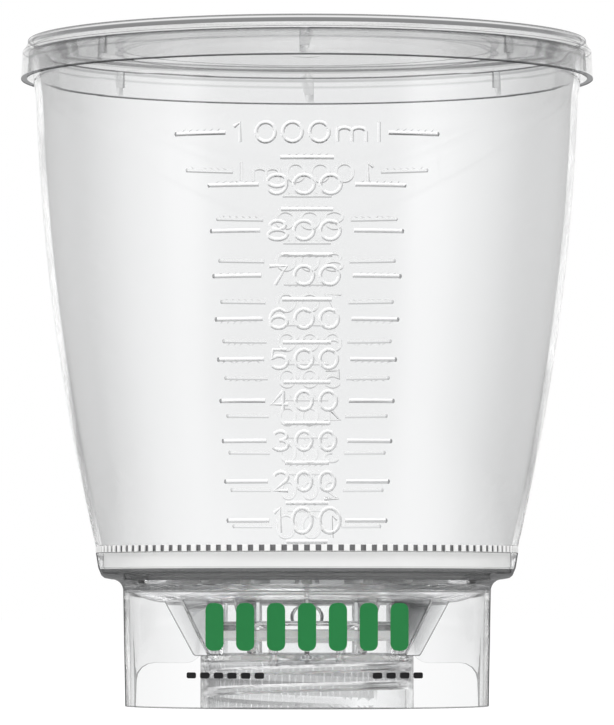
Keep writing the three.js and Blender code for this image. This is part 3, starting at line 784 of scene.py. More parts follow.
def floor_material(stage):
    """White floor that keeps the unit's shadow."""
    material, nodes, shader, output = new_material("floor_white")
    through, camera, mirrored = seen_rays(nodes)
    place = nodes.add("ShaderNodeTexCoord").outputs["Object"]
    speckle = nodes.add("ShaderNodeTexNoise", {"Vector": place, "Scale": 60.0}).outputs[0]
    nodes.feed(shader.inputs["Base Color"], grey(0.8))
    nodes.feed(shader.inputs["Roughness"], nodes.plus(nodes.times(speckle, 0.1), 0.6))
    catcher = nodes.add("ShaderNodeBsdfDiffuse", {"Color": grey(stage.shadow)})
    plain = FLOOR_LIGHT - stage.shadow * stage.room_light
    white = nodes.add("ShaderNodeEmission", {"Color": WHITE, "Strength": plain})
    lit = nodes.add("ShaderNodeAddShader", {0: white.outputs[0], 1: catcher.outputs[0]})
    level = nodes.vector("MULTIPLY", place, (1, 1, 0))[0]
    from_lid = nodes.vector("ADD", level, (0, 0, -FUNNEL_TOP))[0]
    boards = surroundings(nodes, from_lid, mirrored)
    near = nodes.ramp(nodes.vector("LENGTH", level)["Value"], WHITE_FLOOR)
    shown = nodes.add("ShaderNodeEmission", {"Color": nodes.blend(near, boards, WHITE), "Strength": 1.0})
    surface = nodes.mixed(camera, nodes.mixed(through, shader.outputs[0], shown.outputs[0]), lit.outputs[0])
    nodes.feed(output.inputs["Surface"], surface)
    return material


def make_camera(stage):
    """Camera in front of the unit, low down and tilted up a little."""
    data = bpy.data.cameras.new("camera")
    data.lens = stage.lens
    data.clip_end = 100.0
    camera = bpy.data.objects.new("camera", data)
    camera.location = (0, -stage.distance, stage.eye_height)
    camera.rotation_euler = (math.radians(90) + stage.tilt, 0, 0)
    bpy.context.scene.collection.objects.link(camera)
    bpy.context.scene.camera = camera


def make_lamp(name, place, width, power):
    """Round soft lamp that lights the unit and isn't seen or mirrored."""
    data = bpy.data.lights.new(name, "AREA")
    data.shape = "DISK"
    data.size = width
    data.energy = power
    lamp = bpy.data.objects.new(name, data)
    lamp.location = place
    lamp.rotation_euler = (Vector(LAMP_TARGET) - Vector(place)).to_track_quat("-Z", "Y").to_euler()
    lamp.visible_glossy = False
    lamp.visible_transmission = False
    lamp.visible_camera = False
    bpy.context.scene.collection.objects.link(lamp)


class FILTRATION_OT_stage(bpy.types.Operator):
    """Make the camera, the floor, the world and the lamps"""
    bl_idname = "filtration.stage"
    bl_label = "Stage"

    def execute(self, context):
        scene = context.scene
        stage = scene.filtration_unit.stage
        make_camera(stage)
        make_world(stage)
        solid = bmesh.new()
        bmesh.ops.create_circle(solid, cap_ends=True, segments=64, radius=FLOOR_RADIUS)
        floor = as_object(moved(solid, 0, 0, -FLOOR_DROP), "floor")
        floor.data.materials.append(floor_material(stage))
        for name, place, width in LAMPS:
            make_lamp(name, place, width, stage.lamp_power)
        scene.view_settings.view_transform = "Standard"
        scene.cycles.max_bounces = MANY_BOUNCES
        scene.cycles.transmission_bounces = MANY_BOUNCES
        scene.cycles.transparent_max_bounces = MANY_BOUNCES
        scene.cycles.glossy_bounces = GLOSSY_BOUNCES
        return {"FINISHED"}


# ---------------------------------------------------------------------------------------------
# Funnel
# ---------------------------------------------------------------------------------------------

# The scale, in millimetres
SCALE_HEIGHTS = (43.2, 52.1, 61.3, 70.4, 79.8, 88.9, 98.7, 108.9, 119.3, 131.15)    # 100 to 1000 ml
LINE_INNER = (8.7, 11.0)             # reach of the side lines from the middle, at 100 and at 900 ml
LINE_OUTER = (18.4, 22.6)
TOP_LINE = (18.6, 30.2)              # the same at 1000 ml
LINE_LIMIT = 40.0                    # a reach that no line has
HALF_BAR = (4.7, 6.1)                # half length of the short bars, at 50 and at 950 ml
BAR_BELOW = (4.8, 5.75)              # drop from a line to the short bar under it, at 100 and at 1000 ml
# The lowest and the highest number, in hundreds: height, and (figure, place across, width) of each figure
PLACED_NUMBERS = {
    1: (5.6, (("1", -6.4, 4.4), ("0", -1.1, 4.4), ("0", 5.2, 4.6))),
    10: (4.4, (("1", -15.6, 4.4), ("0", -9.4, 4.4), ("0", -3.3, 4.4), ("0", 2.8, 4.4), ("m", 10.2, 6.6),
               ("l", 16.5, 4.4))),
}
FIGURE_HEIGHT = 4.2                  # of the numbers between them, whose width and pitch grow upwards
FIGURE_WIDTH = (3.05, 0.18)          # at nought, and its growth from one number to the next
FIGURE_PITCH = (5.05, 0.115)
NUMBER_SHIFT = -0.7 * MM             # the numbers stand a little to the left of the short bars
# How the scale is raised and lit
SINK = 0.3 * MM                      # how deep a scale line is rooted in the wall
FIGURE_SINK = 0.1 * MM               # the same for a figure
STROKE_SHARE = 0.56                  # half width of a figure's stroke, against a line's width
CREST_SHARE = 0.25                   # width of a raised mark's crest against its root
OVAL_STEPS = 26
SIDE_STEPS = 36                      # of the funnel's swelling side
SHOULDER_STEPS = 6
SHOULDER_BEND = 0.35                 # share of the rim band at which the shoulder bends
SHOULDER_END = 0.65                  # share of the rim band at which the side is straight again
SHOULDER_SWELL = 0.2 * MM
RIM_FILLET = 0.3 * MM
SHADED_WAY = (0.45, 0.0, -0.9)       # the way that the slopes with painted shade lean
SLOPE = (0.15, 0.35)                 # where a leaning slope starts to show, and where it shows in full
LINE_TIP = 0.45 * MM                 # length of a side line's outer end with painted shade
TIP_SHADE = 0.9


def funnel_side(sizes, inset):
    """One face of the funnel's wall from foot to rim."""
    shoulder = FUNNEL_TOP - sizes.rim_band
    foot = (sizes.foot_radius - inset, FUNNEL_FOOT)
    side = bowed(foot, (sizes.shoulder_radius - inset, shoulder), sizes.bulge, SIDE_STEPS)
    rim = FUNNEL_RIM - inset
    bend = ((side[-1][0] + rim) / 2 + SHOULDER_SWELL, shoulder + SHOULDER_BEND * sizes.rim_band)
    end = (rim, shoulder + SHOULDER_END * sizes.rim_band)
    return side + eased(side[-1], bend, end, SHOULDER_STEPS)[1:]


def scale_line(sizes, side, height, middle, reach_from, reach_to):
    """Solid of one raised line, which follows the wall between two distances from the middle."""
    radius = radius_at(side, height) + sizes.line_height
    root = sizes.line_width / 2
    crest = root * CREST_SHARE
    lower = ((-root, -SINK), (-root, 0.0), (-crest, sizes.line_height))
    upper = [(-rise, stand) for rise, stand in reversed(lower)]
    section = [(radius_at(side, height + rise) + stand, height + rise) for rise, stand in (*lower, *upper)]
    start = math.asin(reach_from / radius)
    angle = math.asin(reach_to / radius) - start
    steps = max(4, round(abs(angle) / TURN * ROUND_STEPS))
    return spun(section, steps=steps, start=middle + start, angle=angle)


def oval(centre, half_width, half_height, start=0.0, end=360.0):
    """Points on an oval between two angles in degrees. A full turn leaves out its last point."""
    steps = max(5, round(abs(end - start) / 360 * OVAL_STEPS))
    angles = [math.radians(start + (end - start) * step / steps) for step in range(steps + 1)]
    points = [(centre[0] + half_width * math.cos(a), centre[1] + half_height * math.sin(a)) for a in angles]
    return points[:-1] if abs(end - start) >= 360 else points


# Strokes of each figure, in shares of its width and height from its middle: (closed, points)
SIX = [(True, oval((0, -0.19), 0.46, 0.31)), (False, oval((0.02, -0.02), 0.48, 0.52, 42, 196))]
FIGURES = {
    "0": [(True, oval((0, 0), 0.5, 0.5))],
    "1": [(False, [(-0.26, 0.3), (0.06, 0.5), (0.06, -0.5)])],
    "2": [(False, oval((0, 0.21), 0.45, 0.29, 165, -38) + [(-0.47, -0.5), (0.48, -0.5)])],
    "3": [(False, oval((0, 0.26), 0.41, 0.24, 155, -95)), (False, oval((0, -0.24), 0.48, 0.26, 95, -155))],
    "4": [(False, [(0.2, 0.5), (-0.5, -0.2), (0.5, -0.2)]), (False, [(0.2, 0.5), (0.2, -0.5)])],
    "5": [(False, [(0.42, 0.5), (-0.36, 0.5), (-0.42, 0.02)] + oval((0, -0.17), 0.47, 0.33, 128, -155))],
    "6": SIX,
    "7": [(False, [(-0.46, 0.5), (0.46, 0.5), (-0.16, -0.5)])],
    "8": [(True, oval((0, 0.26), 0.38, 0.24)), (True, oval((0, -0.24), 0.48, 0.26))],
    "9": [(closed, [(-x, -y) for x, y in points]) for closed, points in SIX],
    "m": [(False, [(-0.5, -0.5), (-0.5, 0.24)]),
          (False, oval((-0.25, 0.0), 0.25, 0.22, 175, 0) + [(0.0, -0.5)]),
          (False, oval((0.25, 0.0), 0.25, 0.22, 175, 0) + [(0.5, -0.5)])],
    "l": [(False, [(0.0, -0.5), (0.0, 0.54)])],
}


def line_curve(name, points, closed):
    """Linked curve object that joins flat points by straight lines."""
    curve = bpy.data.curves.new(name, "CURVE")
    curve.dimensions = "3D"
    spline = curve.splines.new("POLY")
    spline.points.add(len(points) - 1)
    for point, (x, y) in zip(spline.points, points):
        point.co = (x, y, 0, 1)
    spline.use_cyclic_u = closed
    holder = bpy.data.objects.new(name, curve)
    bpy.context.scene.collection.objects.link(holder)
    return holder


def stroke(points, closed, size, half_root, half_crest):
    """Solid ridge along a figure's stroke: its root is at Z = -1 mm and its crest at Z = 1 mm."""
    section = [(-half_root, -MM), (half_root, -MM), (half_crest, MM), (-half_crest, MM)]
    profile = line_curve("profile", section, True)
    route = line_curve("path", [(x * size[0], y * size[1]) for x, y in points], closed)
    route.data.bevel_mode = "OBJECT"
    route.data.bevel_object = profile
    route.data.use_fill_caps = True
    graph = bpy.context.evaluated_depsgraph_get()
    data = bpy.data.meshes.new_from_object(route.evaluated_get(graph))
    ridge = bmesh.new()
    ridge.from_mesh(data)
    bpy.data.meshes.remove(data)
    discard(route)
    discard(profile)
    return closed_up(ridge)


def figure(letter, size, sizes):
    """Flat solid of one figure, centred on the origin."""
    half = STROKE_SHARE * sizes.line_width
    strokes = [stroke(points, closed, size, half, half * CREST_SHARE) for closed, points in FIGURES[letter]]
    solid = strokes[0]
    for ridge in strokes[1:]:
        solid = combined("UNION", solid, [ridge])
    return solid


def wrapped(flat, sizes, side, height, middle):
    """A flat figure laid on the funnel's wall as a raised one."""
    for vert in flat.verts:
        across, up, depth = vert.co
        level = height + up
        radius = radius_at(side, level)
        heading = middle + across / radius
        radius += sizes.line_height if depth > 0 else -FIGURE_SINK
        vert.co = (radius * math.cos(heading), radius * math.sin(heading), level)
    return facing_out(flat)


def number_layout(hundreds):
    """(figure, place across, width, height) for each figure of a number of hundreds."""
    if hundreds in PLACED_NUMBERS:
        height, figures = PLACED_NUMBERS[hundreds]
        return [(letter, across * MM, width * MM, height * MM) for letter, across, width in figures]
    width, pitch = ((least + growth * hundreds) * MM for least, growth in (FIGURE_WIDTH, FIGURE_PITCH))
    return [(letter, NUMBER_SHIFT + (i - 1) * pitch, width, FIGURE_HEIGHT * MM)
            for i, letter in enumerate(f"{hundreds}00")]


def between(ends, part):
    """Value at a part of the way between two."""
    return ends[0] + (ends[1] - ends[0]) * part


def scale_marks(sizes, side):
    """Every raised line and number, on the front and again on the back."""
    marks = []
    last = len(SCALE_HEIGHTS) - 1
    for middle in (FRONT, BACK):
        for i, millimetres in enumerate(SCALE_HEIGHTS):
            height = millimetres * MM
            part = i / (last - 1)
            reach = TOP_LINE if i == last else [between(LINE_INNER, part), between(LINE_OUTER, part)]
            start, end = (value * MM for value in reach)
            marks.append(scale_line(sizes, side, height, middle, -end, -start))
            marks.append(scale_line(sizes, side, height, middle, start, end))
            half, drop = (between(ends, i / last) * MM for ends in (HALF_BAR, BAR_BELOW))
            marks.append(scale_line(sizes, side, height - drop, middle, -half, half))
            for letter, across, width, tall in number_layout(i + 1):
                flat = moved(figure(letter, (width, tall), sizes), across, 0, 0)
                marks.append(wrapped(flat, sizes, side, height, middle))
    return marks


def painted_line_end_shade(nodes):
    """Mask of painted shade on the side lines' outer ends."""
    across, _, up = nodes.place()
    lowest, ninth, top = (SCALE_HEIGHTS[i] * MM / FUNNEL_TOP for i in (0, 8, 9))
    ends = [end / LINE_LIMIT for end in (*LINE_OUTER, TOP_LINE[1])]
    reach = nodes.ramp(nodes.math("DIVIDE", up, FUNNEL_TOP), [
        (lowest, ends[0]), (ninth, ends[1]), ((ninth + top) / 2, ends[2]), (top, ends[2])])
    tip = nodes.math("SUBTRACT", nodes.times(reach, LINE_LIMIT * MM), LINE_TIP)
    return nodes.times(nodes.over(nodes.math("ABSOLUTE", across), tip), TIP_SHADE)


def raised_plastic(finish):
    """The funnel's plastic on its raised scale: slopes to the upper left get a painted highlight, and the
    others painted shade.
    """
    material, nodes, shader, output = new_material("clear_marks")
    tone = clear_surface(nodes, shader, finish, roughness=0.06, spread=0.04, grain=900.0, bump=0.04)
    behind = nodes.face("Backfacing")
    lean = nodes.vector("DOT_PRODUCT", nodes.face("Normal"), SHADED_WAY)["Value"]
    lean = nodes.times(lean, nodes.rest(behind, 2.0))
    near = nodes.rest(behind, FAR_LOSS)
    shaded = nodes.times(nodes.ramp(lean, [(SLOPE[0], 0.0), (SLOPE[1], 1.0)]), near)
    shade = nodes.blend(shaded, WHITE, rgba(finish.mark_shade))
    nodes.feed(shader.inputs["Base Color"], nodes.product(tone, shade))
    lit = nodes.ramp(nodes.times(lean, -1.0), [(SLOPE[0], 0.0), (SLOPE[1], finish.mark_light)])
    white = nodes.add("ShaderNodeBsdfDiffuse", {"Color": WHITE})
    surface = nodes.mixed(nodes.times(lit, near), shader.outputs[0], white.outputs[0])
    let_light_through(nodes, surface, output, finish, nodes.times(painted_line_end_shade(nodes), near))
    return material


class FILTRATION_OT_funnel(bpy.types.Operator):
    """Make the clear funnel with its raised scale"""
    bl_idname = "filtration.funnel"
    bl_label = "Funnel"

    def execute(self, context):
        unit = context.scene.filtration_unit
        sizes = unit.funnel
        outer = funnel_side(sizes, 0.0)
        inner = funnel_side(sizes, sizes.wall)
        rim = [(FUNNEL_RIM, FUNNEL_TOP, RIM_FILLET), (FUNNEL_RIM - sizes.wall, FUNNEL_TOP, RIM_FILLET)]
        wall = spun(filleted([*outer, *rim, *reversed(inner)]))
        solid = combined("UNION", wall, scale_marks(sizes, outer))
        plastic = clear_plastic("clear_funnel", unit.finish, sizes)
        piece = finished(lined(solid, outer), "funnel_body", "funnel", plastic)
        piece.data.materials.append(raised_plastic(unit.finish))
        return {"FINISHED"}


# ---------------------------------------------------------------------------------------------
# Lid
# ---------------------------------------------------------------------------------------------

LID_LAND = 1.0 * MM                  # plain wall between the panel's underside and the chamfer
LID_CHAMFER_HEIGHT = 1.7 * MM
DIMPLE_RADIUS = 4.3 * MM
DIMPLE_DEPTH = 0.7 * MM
LUG_WIDTH = 2.1 * MM
LUG_LENGTH = 4.1 * MM
LUG_GAP = 0.3 * MM                   # from the funnel's rim to a lug
# Painted shade up from the lid's foot: a thin line at the foot, and the corners of its chamfer and its ring
FOOT_LINE = ((0.0, 1.0), (0.25, 1.0), (0.35, 0.0))
RIM_BANDS = ((3.85, 0.0), (4.0, 0.25), (4.3, 0.25), (4.45, 0.03), (5.3, 0.03), (5.45, 0.4), (5.9, 0.4),
             (6.05, 0.05), (7.5, 0.05), (7.7, 1.0), (8.5, 1.0), (8.7, 0.1))
RIM_FADE = ((0.5, 1.0), (0.95, 0.3))     # how strongly the bands show, by how far a face turns away
RIM_REACH = 0.8                      # share of the lid's radius past which its wall is the rim
PANEL_SHADE = 0.08                   # painted shade on the panel in a low view
STEP_SHADE = 0.5                     # what the step in the panel adds
STEP_REACH = 1.0 * MM


def dimple(level):
    """Half of the shallow dip in the panel's middle, from its edge to the axis."""
    floor = level - DIMPLE_DEPTH
    return eased((DIMPLE_RADIUS, level), (DIMPLE_RADIUS * 0.5, floor), (0, floor), 8)


def lid_section(sizes):
    """The lid's half section, from the axis round its skirt and stacking ring and back."""
    inner = FUNNEL_RIM + sizes.gap
    outer = inner + sizes.wall
    ring_outer = outer - sizes.chamfer
    ring_inner = ring_outer - sizes.ring_width
    land = FUNNEL_TOP + LID_LAND - LID_CHAMFER_HEIGHT / 2
    top = FUNNEL_TOP + sizes.panel
    step_outer = sizes.step_radius + sizes.step
    low_top = top - sizes.step
    low_under = FUNNEL_TOP - sizes.step
    fine, soft = 0.15 * MM, 0.4 * MM
    return filleted([
        *reversed(dimple(low_under)),
        (sizes.step_radius, low_under, fine),
        (step_outer, FUNNEL_TOP, fine),
        (inner, FUNNEL_TOP, soft),
        (inner + sizes.draft, LID_FOOT, fine),
        (outer + sizes.draft, LID_FOOT, fine),
        (outer, land, soft),
        (ring_outer, land + LID_CHAMFER_HEIGHT, fine),
        (ring_outer, LID_TOP, soft),
        (ring_inner, LID_TOP, soft),
        (ring_inner, top, fine),
        (step_outer, top, fine),
        (sizes.step_radius, low_top, fine),
        *dimple(low_top)], closed=False)


def lug(sizes):
    """Small rib inside the lid's skirt, at the front."""
    near = FUNNEL_RIM + LUG_GAP
    far = FUNNEL_RIM + sizes.gap + sizes.wall / 2
    half = LUG_WIDTH / 2
    foot = FUNNEL_TOP - LUG_LENGTH
    head = FUNNEL_TOP + sizes.panel / 2
    return slab([(-half, foot), (half, foot), (half, head), (-half, head)], -far, -near)


def painted_rim_shade(nodes, sizes, facing, flat):
    """Mask of painted shade: the lid's foot and its dark bands, and its panel and the panel's step in a low
    view.
    """
    outward, up = from_axis(nodes)
    shown = nodes.times(nodes.rest(nodes.face("Backfacing"), FAR_LOSS), nodes.ramp(facing, RIM_FADE))
    bands = nodes.times(dark_bands(nodes, up, LID_FOOT, RIM_BANDS), shown)
    rim = nodes.largest(dark_bands(nodes, up, LID_FOOT, FOOT_LINE), bands)
    rim = nodes.times(rim, nodes.over(outward, RIM_REACH * LID_RADIUS))
    from_step = nodes.math("SUBTRACT", outward, sizes.step_radius + sizes.step / 2)
    step = nodes.under(nodes.math("ABSOLUTE", from_step), STEP_REACH)
    level = nodes.plus(nodes.times(step, STEP_SHADE), PANEL_SHADE)
    panel = nodes.times(low_view(nodes, facing, flat), level)
    return nodes.largest(rim, panel)


class FILTRATION_OT_lid(bpy.types.Operator):
    """Make the clear lid"""
    bl_idname = "filtration.lid"
    bl_label = "Lid"

    def execute(self, context):
        unit = context.scene.filtration_unit
        sizes = unit.lid
        lugs = around(lug(sizes), sizes.lugs, sizes.lug_turn)
        solid = combined("UNION", spun(lid_section(sizes)), lugs)
        plastic = clear_plastic("clear_lid", unit.finish, sizes, painted_rim_shade, level_shade=0.7, coat=0.8,
                                face_shade=EVEN_SHADE, thin=0.75)
        finished(lined(solid), "lid_body", "lid", plastic)
        return {"FINISHED"}


# ---------------------------------------------------------------------------------------------
# Base
# ---------------------------------------------------------------------------------------------

FLOOR_WALL = 1.5 * MM
DISH_FLAT = 33.7 * MM                # radius of the dish's flat middle
DISH_INSET = 1.3 * MM                # from the skirt's inner face to the dish's edge
SHOULDER_FILLET = 2.7 * MM           # where the skirt runs out into the collar
CHAMFER_START = 0.3 * MM             # from the shoulder up to the chamfer under the collar
CHAMFER_WIDTH = 1.5 * MM
CHAMFER_BEND = (0.75 * MM, 0.6 * MM)     # where the chamfer steepens, out and up from its start
CHAMFER_RISE = 2.4 * MM
COLLAR_LEAN = 0.6 * MM               # how much narrower the collar is over the chamfer than at its top
LEAD_IN = 0.6 * MM                   # chamfers at the neck's mouth
SPOUT_RADIUS = 9.1 * MM
SPOUT_LENGTH = 8.5 * MM
SPOUT_WALL = 1.5 * MM
NECK_BORE = 21.7 * MM
BORE_WALL = 1.5 * MM
PLATE_SEAT = 1.8 * MM
GUSSET_FOOT = 1.6 * MM               # how far a gusset's foot stands out from the neck
GUSSET_CORNER = 0.9 * MM
GUSSET_REACH = 34.1 * MM
GUSSET_ROUND = 0.32 * MM             # rounding of a gusset's edges
CUT_HEIGHT = 12.0 * MM               # of the wide arch in the skirt's back
CUT_INSET = 1.3 * MM                 # how far the arch's foot stays in from the skirt's sides
CUT_SLANT = 0.5 * MM                 # how much narrower the arch is at its top
CUT_CORNER = 4.5 * MM
WINDOW_HALF = 25.5 * MM              # half width of the window over it
WINDOW_CORNER = 4.0 * MM
WINDOW_DROP = 1.0 * MM               # from the skirt's top to the window's top
CUT_CLEARANCE = 0.3 * MM             # how far the cutter starts inside the skirt's wall
SHANK_RADIUS = 3.4 * MM
HOSE_BORE = 1.7 * MM
BARBS = 3
BARB_PITCH = 4.2 * MM
BARB_STAND = 0.9 * MM                # how far a barb stands out from the shank
PASSAGE_DOWN = 4.3 * MM              # from the spout to the hole that leads down
THREAD_TURNS = 2.2
THREAD_START = math.radians(42)
THREAD_LEVEL = 2.6 * MM              # height of the thread's start
THREAD_SINK = 0.3 * MM               # how deep the ridge is rooted in the wall
THREAD_FADE = 0.05 * MM              # how far its ends sink in
HALF_ROOT = 1.05 * MM                # half width of the ridge at its root
HALF_CREST = 0.35 * MM
THREAD_STEPS = 200
RUN_IN = TURN * 0.2                  # over which the thread rises out of the wall
RUN_OUT = TURN * 0.03
PAST = 0.5 * MM                      # how far a cutter reaches past what it cuts
# Painted shade on the collar's ledge, up from the skirt's top
LEDGE_BAND = ((0.0, 0.0), (0.1, 0.8), (2.2, 0.85), (5.0, 0.85), (5.25, 0.0))
# Painted shade on the foot and on the dish's edge, by the share of the skirt's height
DISH_BANDS = ((0.0, 0.6), (0.008, 0.6), (0.013, 0.0), (0.90, 0.0), (0.94, 1.0), (0.99, 1.0), (1.0, 0.0))
EDGE_ON = ((0.87, 0.0), (0.90, 1.0))     # where a wall seen edge on gets a painted shade outline, by how far it turns away
SLANTED = ((0.60, 0.0), (0.90, 0.35))    # how strongly the dish's edge shows, by the same
CUT_SHADE = 0.75                     # painted shade on the edges that the cut-out leaves
CUT_LEAN = 0.1                       # how far those edges may lean along Y
CUT_START = 5 * MM                   # behind the axis, where they start
CUT_TOP = 0.5 * MM                   # below the skirt's top, where they end
SKIRT_DEPTH = 1.6 * MM               # takes in the skirt's wall, from its face inwards
LEDGE_START = 0.3 * MM               # outside the skirt, where the ledge starts
OUTLINE_DEPTH = 0.6 * MM             # depth of the faces whose outlines show in full
INNER_OUTLINE = 0.5                  # how strong the outlines further in are
DISH_DEPTH = 1.4 * MM                # the dish lies further in than this
FOOT_HEIGHT = 0.5 * MM               # of the faces at the foot


def dish_curve(sizes, edge, lift):
    """The dish's face from its flat middle to its edge, moved up by a lift."""
    level = DISH_FLOOR - FLOOR_WALL + lift
    return eased((DISH_FLAT, level), ((DISH_FLAT + edge) / 2, level), (edge, sizes.skirt_height + lift), 14)


def base_section(sizes, plate_wall):
    """The base's half section: up outside to the collar, down the dish and the spout, round the neck."""
    fine, soft = 0.2 * MM, 0.5 * MM
    skirt_top = sizes.skirt_radius + sizes.skirt_draft
    skirt_inner = skirt_top - sizes.skirt_wall
    dish_edge = skirt_inner - DISH_INSET
    collar = COLLAR_RADIUS - COLLAR_LEAN
    chamfer_foot = sizes.skirt_height + SHOULDER_FILLET + CHAMFER_START
    chamfer_inner = collar - CHAMFER_WIDTH
    collar_bore = COLLAR_RADIUS - sizes.collar_wall
    plate_bore = collar_bore - sizes.ledge_width
    seat = LEDGE - plate_wall
    seat_inner = plate_bore - PLATE_SEAT
    well_floor = NECK_CEILING + FLOOR_WALL
    spout_inner = SPOUT_RADIUS - SPOUT_WALL
    spout_tip = NECK_CEILING - SPOUT_LENGTH
    neck_outer = sizes.thread_radius + sizes.neck_wall
    bore_outer = NECK_BORE + BORE_WALL
    return filleted([
        (sizes.skirt_radius, 0, fine),
        *arc((skirt_top + SHOULDER_FILLET, sizes.skirt_height), SHOULDER_FILLET, 180, 90, 12),
        (chamfer_inner, chamfer_foot, soft),
        (chamfer_inner + CHAMFER_BEND[0], chamfer_foot + CHAMFER_BEND[1], soft),
        (collar, chamfer_foot + CHAMFER_RISE, soft),
        (COLLAR_RADIUS, COLLAR_TOP, fine),
        (collar_bore, COLLAR_TOP, fine),
        (collar_bore, LEDGE, fine),
        (plate_bore, LEDGE, fine),
        (plate_bore, seat, fine),
        (seat_inner, seat, fine),
        *reversed(dish_curve(sizes, min(dish_edge, seat_inner), FLOOR_WALL)),
        (NECK_BORE, DISH_FLOOR, soft),
        (NECK_BORE, well_floor, soft),
        (spout_inner, well_floor, soft),
        (spout_inner, spout_tip, fine),
        (SPOUT_RADIUS, spout_tip, fine),
        (SPOUT_RADIUS, NECK_CEILING, soft),
        (NECK_BORE, NECK_CEILING, fine),
        (NECK_BORE, sizes.neck_height, fine),
        (sizes.thread_radius, sizes.neck_height - BORE_WALL, soft),
        (sizes.thread_radius, LEAD_IN, fine),
        (sizes.thread_radius + LEAD_IN, 0, fine),
        (neck_outer - LEAD_IN, 0, fine),
        (neck_outer, LEAD_IN, fine),
        (neck_outer, sizes.neck_height, fine),
        (bore_outer, sizes.neck_height, soft),
        (bore_outer, DISH_FLOOR - FLOOR_WALL, soft),
        *dish_curve(sizes, dish_edge, 0.0),
        (skirt_inner, sizes.skirt_height, soft),
        (sizes.skirt_radius - sizes.skirt_wall, 0, fine)])


def gusset(sizes):
    """Web between the neck and the dish, pointing along X."""
    foot = sizes.thread_radius + sizes.neck_wall + GUSSET_FOOT
    inner = NECK_BORE + BORE_WALL / 2
    top = DISH_FLOOR - FLOOR_WALL / 2
    half = sizes.gusset_wall / 2
    outline = [(inner, sizes.neck_height), (foot, sizes.neck_height, GUSSET_CORNER), (GUSSET_REACH, top),
               (inner, top)]
    web = slab(filleted(outline), -half, half)
    bmesh.ops.bevel(web, geom=web.edges[:], offset=GUSSET_ROUND, segments=3, profile=0.5, affect="EDGES",
                    material=-1)
    return closed_up(web)


def cutout(sizes):
    """Cutter for the skirt's back: a wide low arch with a taller window in its middle."""
    foot = sizes.skirt_radius - CUT_INSET
    window_top = sizes.skirt_height - WINDOW_DROP
    right = filleted([(foot, -PAST), (foot - CUT_SLANT, CUT_HEIGHT, CUT_CORNER),
                      (WINDOW_HALF, CUT_HEIGHT, WINDOW_CORNER), (WINDOW_HALF, window_top, WINDOW_CORNER),
                      (0, window_top)], closed=False)
    outline = right[:-1] + [Vector((-x, z)) for x, z in reversed(right[:-1])]
    core_radius = sizes.skirt_radius - sizes.skirt_wall - CUT_CLEARANCE
    core = spun([(0, -2 * PAST), (core_radius, -2 * PAST), (core_radius, sizes.skirt_height),
                 (0, sizes.skirt_height)])
    prism = slab(outline, 0, sizes.skirt_radius + sizes.skirt_draft + PAST)
    return combined("DIFFERENCE", prism, [core])


def laid_back(solid):
    """A solid that stands on the Z axis, laid back along Y at the hose barb's height."""
    return moved(turned(solid, -math.pi / 2, "X"), 0, 0, NECK_CEILING + SHANK_RADIUS)


def hose_barb():
    """Barbed hose end."""
    start = BARB_TIP - BARBS * BARB_PITCH
    inner = SPOUT_RADIUS - SPOUT_WALL / 2
    corners = [(0, inner), (SHANK_RADIUS, inner), (SHANK_RADIUS, start, 0.1 * MM)]
    for i in range(BARBS):
        corners.append((SHANK_RADIUS + BARB_STAND, start + i * BARB_PITCH, 0.12 * MM))
        corners.append((SHANK_RADIUS, start + (i + 1) * BARB_PITCH, 0.1 * MM))
    corners.append((0, BARB_TIP))
    return laid_back(spun(filleted(corners, closed=False), steps=SMALL_STEPS))


def vacuum_passage():
    """Cutters for the barb's bore and the hole that leads down from it."""
    down_at = SPOUT_RADIUS + PASSAGE_DOWN
    reaches = ((down_at - HOSE_BORE, BARB_TIP + PAST), (NECK_CEILING - PAST, NECK_CEILING + SHANK_RADIUS))
    along, down = (spun([(0, foot), (HOSE_BORE, foot), (HOSE_BORE, head), (0, head)], steps=SMALL_STEPS)
                   for foot, head in reaches)
    return laid_back(along), moved(down, 0, down_at, 0)


def thread(sizes):
    """Ridge of the neck's right-hand thread, which runs in from the wall and ends rounded."""
    root = sizes.thread_radius + THREAD_SINK
    lower = ((root, -HALF_ROOT), (sizes.thread_radius, -HALF_ROOT), (sizes.thread_crest, -HALF_CREST))
    upper = [(radius, -rise) for radius, rise in reversed(lower)]
    section = [(radius, THREAD_LEVEL + rise) for radius, rise in (*lower, *upper)]
    ridge = spun(section, steps=THREAD_STEPS, start=THREAD_START, angle=TURN * THREAD_TURNS,
                 rise=sizes.thread_pitch * THREAD_TURNS)
    wall = sizes.thread_radius + THREAD_FADE
    for vert in ridge.verts:
        radius = math.hypot(vert.co.x, vert.co.y)
        heading = math.atan2(vert.co.y, vert.co.x) - THREAD_START
        height = vert.co.z - THREAD_LEVEL
        lap = round((height / sizes.thread_pitch * TURN - heading) / TURN)
        travelled = heading + lap * TURN
        left = TURN * THREAD_TURNS - travelled
        full = min(1.0, max(travelled, 0) / RUN_IN, max(left, 0) / RUN_OUT)
        full = math.sin(full * math.pi / 2)
        if radius < sizes.thread_radius:
            wanted = wall - (wall - radius) * full
            vert.co.x *= wanted / radius
            vert.co.y *= wanted / radius
    return ridge


def cut_edge(nodes, sizes, outward, up):
    """Mask of painted shade on the faces that the back cut-out, which runs along Y, leaves in the skirt's
    wall.
    """
    lean = nodes.math("ABSOLUTE", nodes.parts(nodes.face("Normal"))[1])
    back = nodes.place()[1]
    return nodes.times(nodes.under(lean, CUT_LEAN), nodes.over(back, CUT_START),
                       nodes.over(outward, sizes.skirt_radius - SKIRT_DEPTH),
                       nodes.under(up, sizes.skirt_height - CUT_TOP), CUT_SHADE)


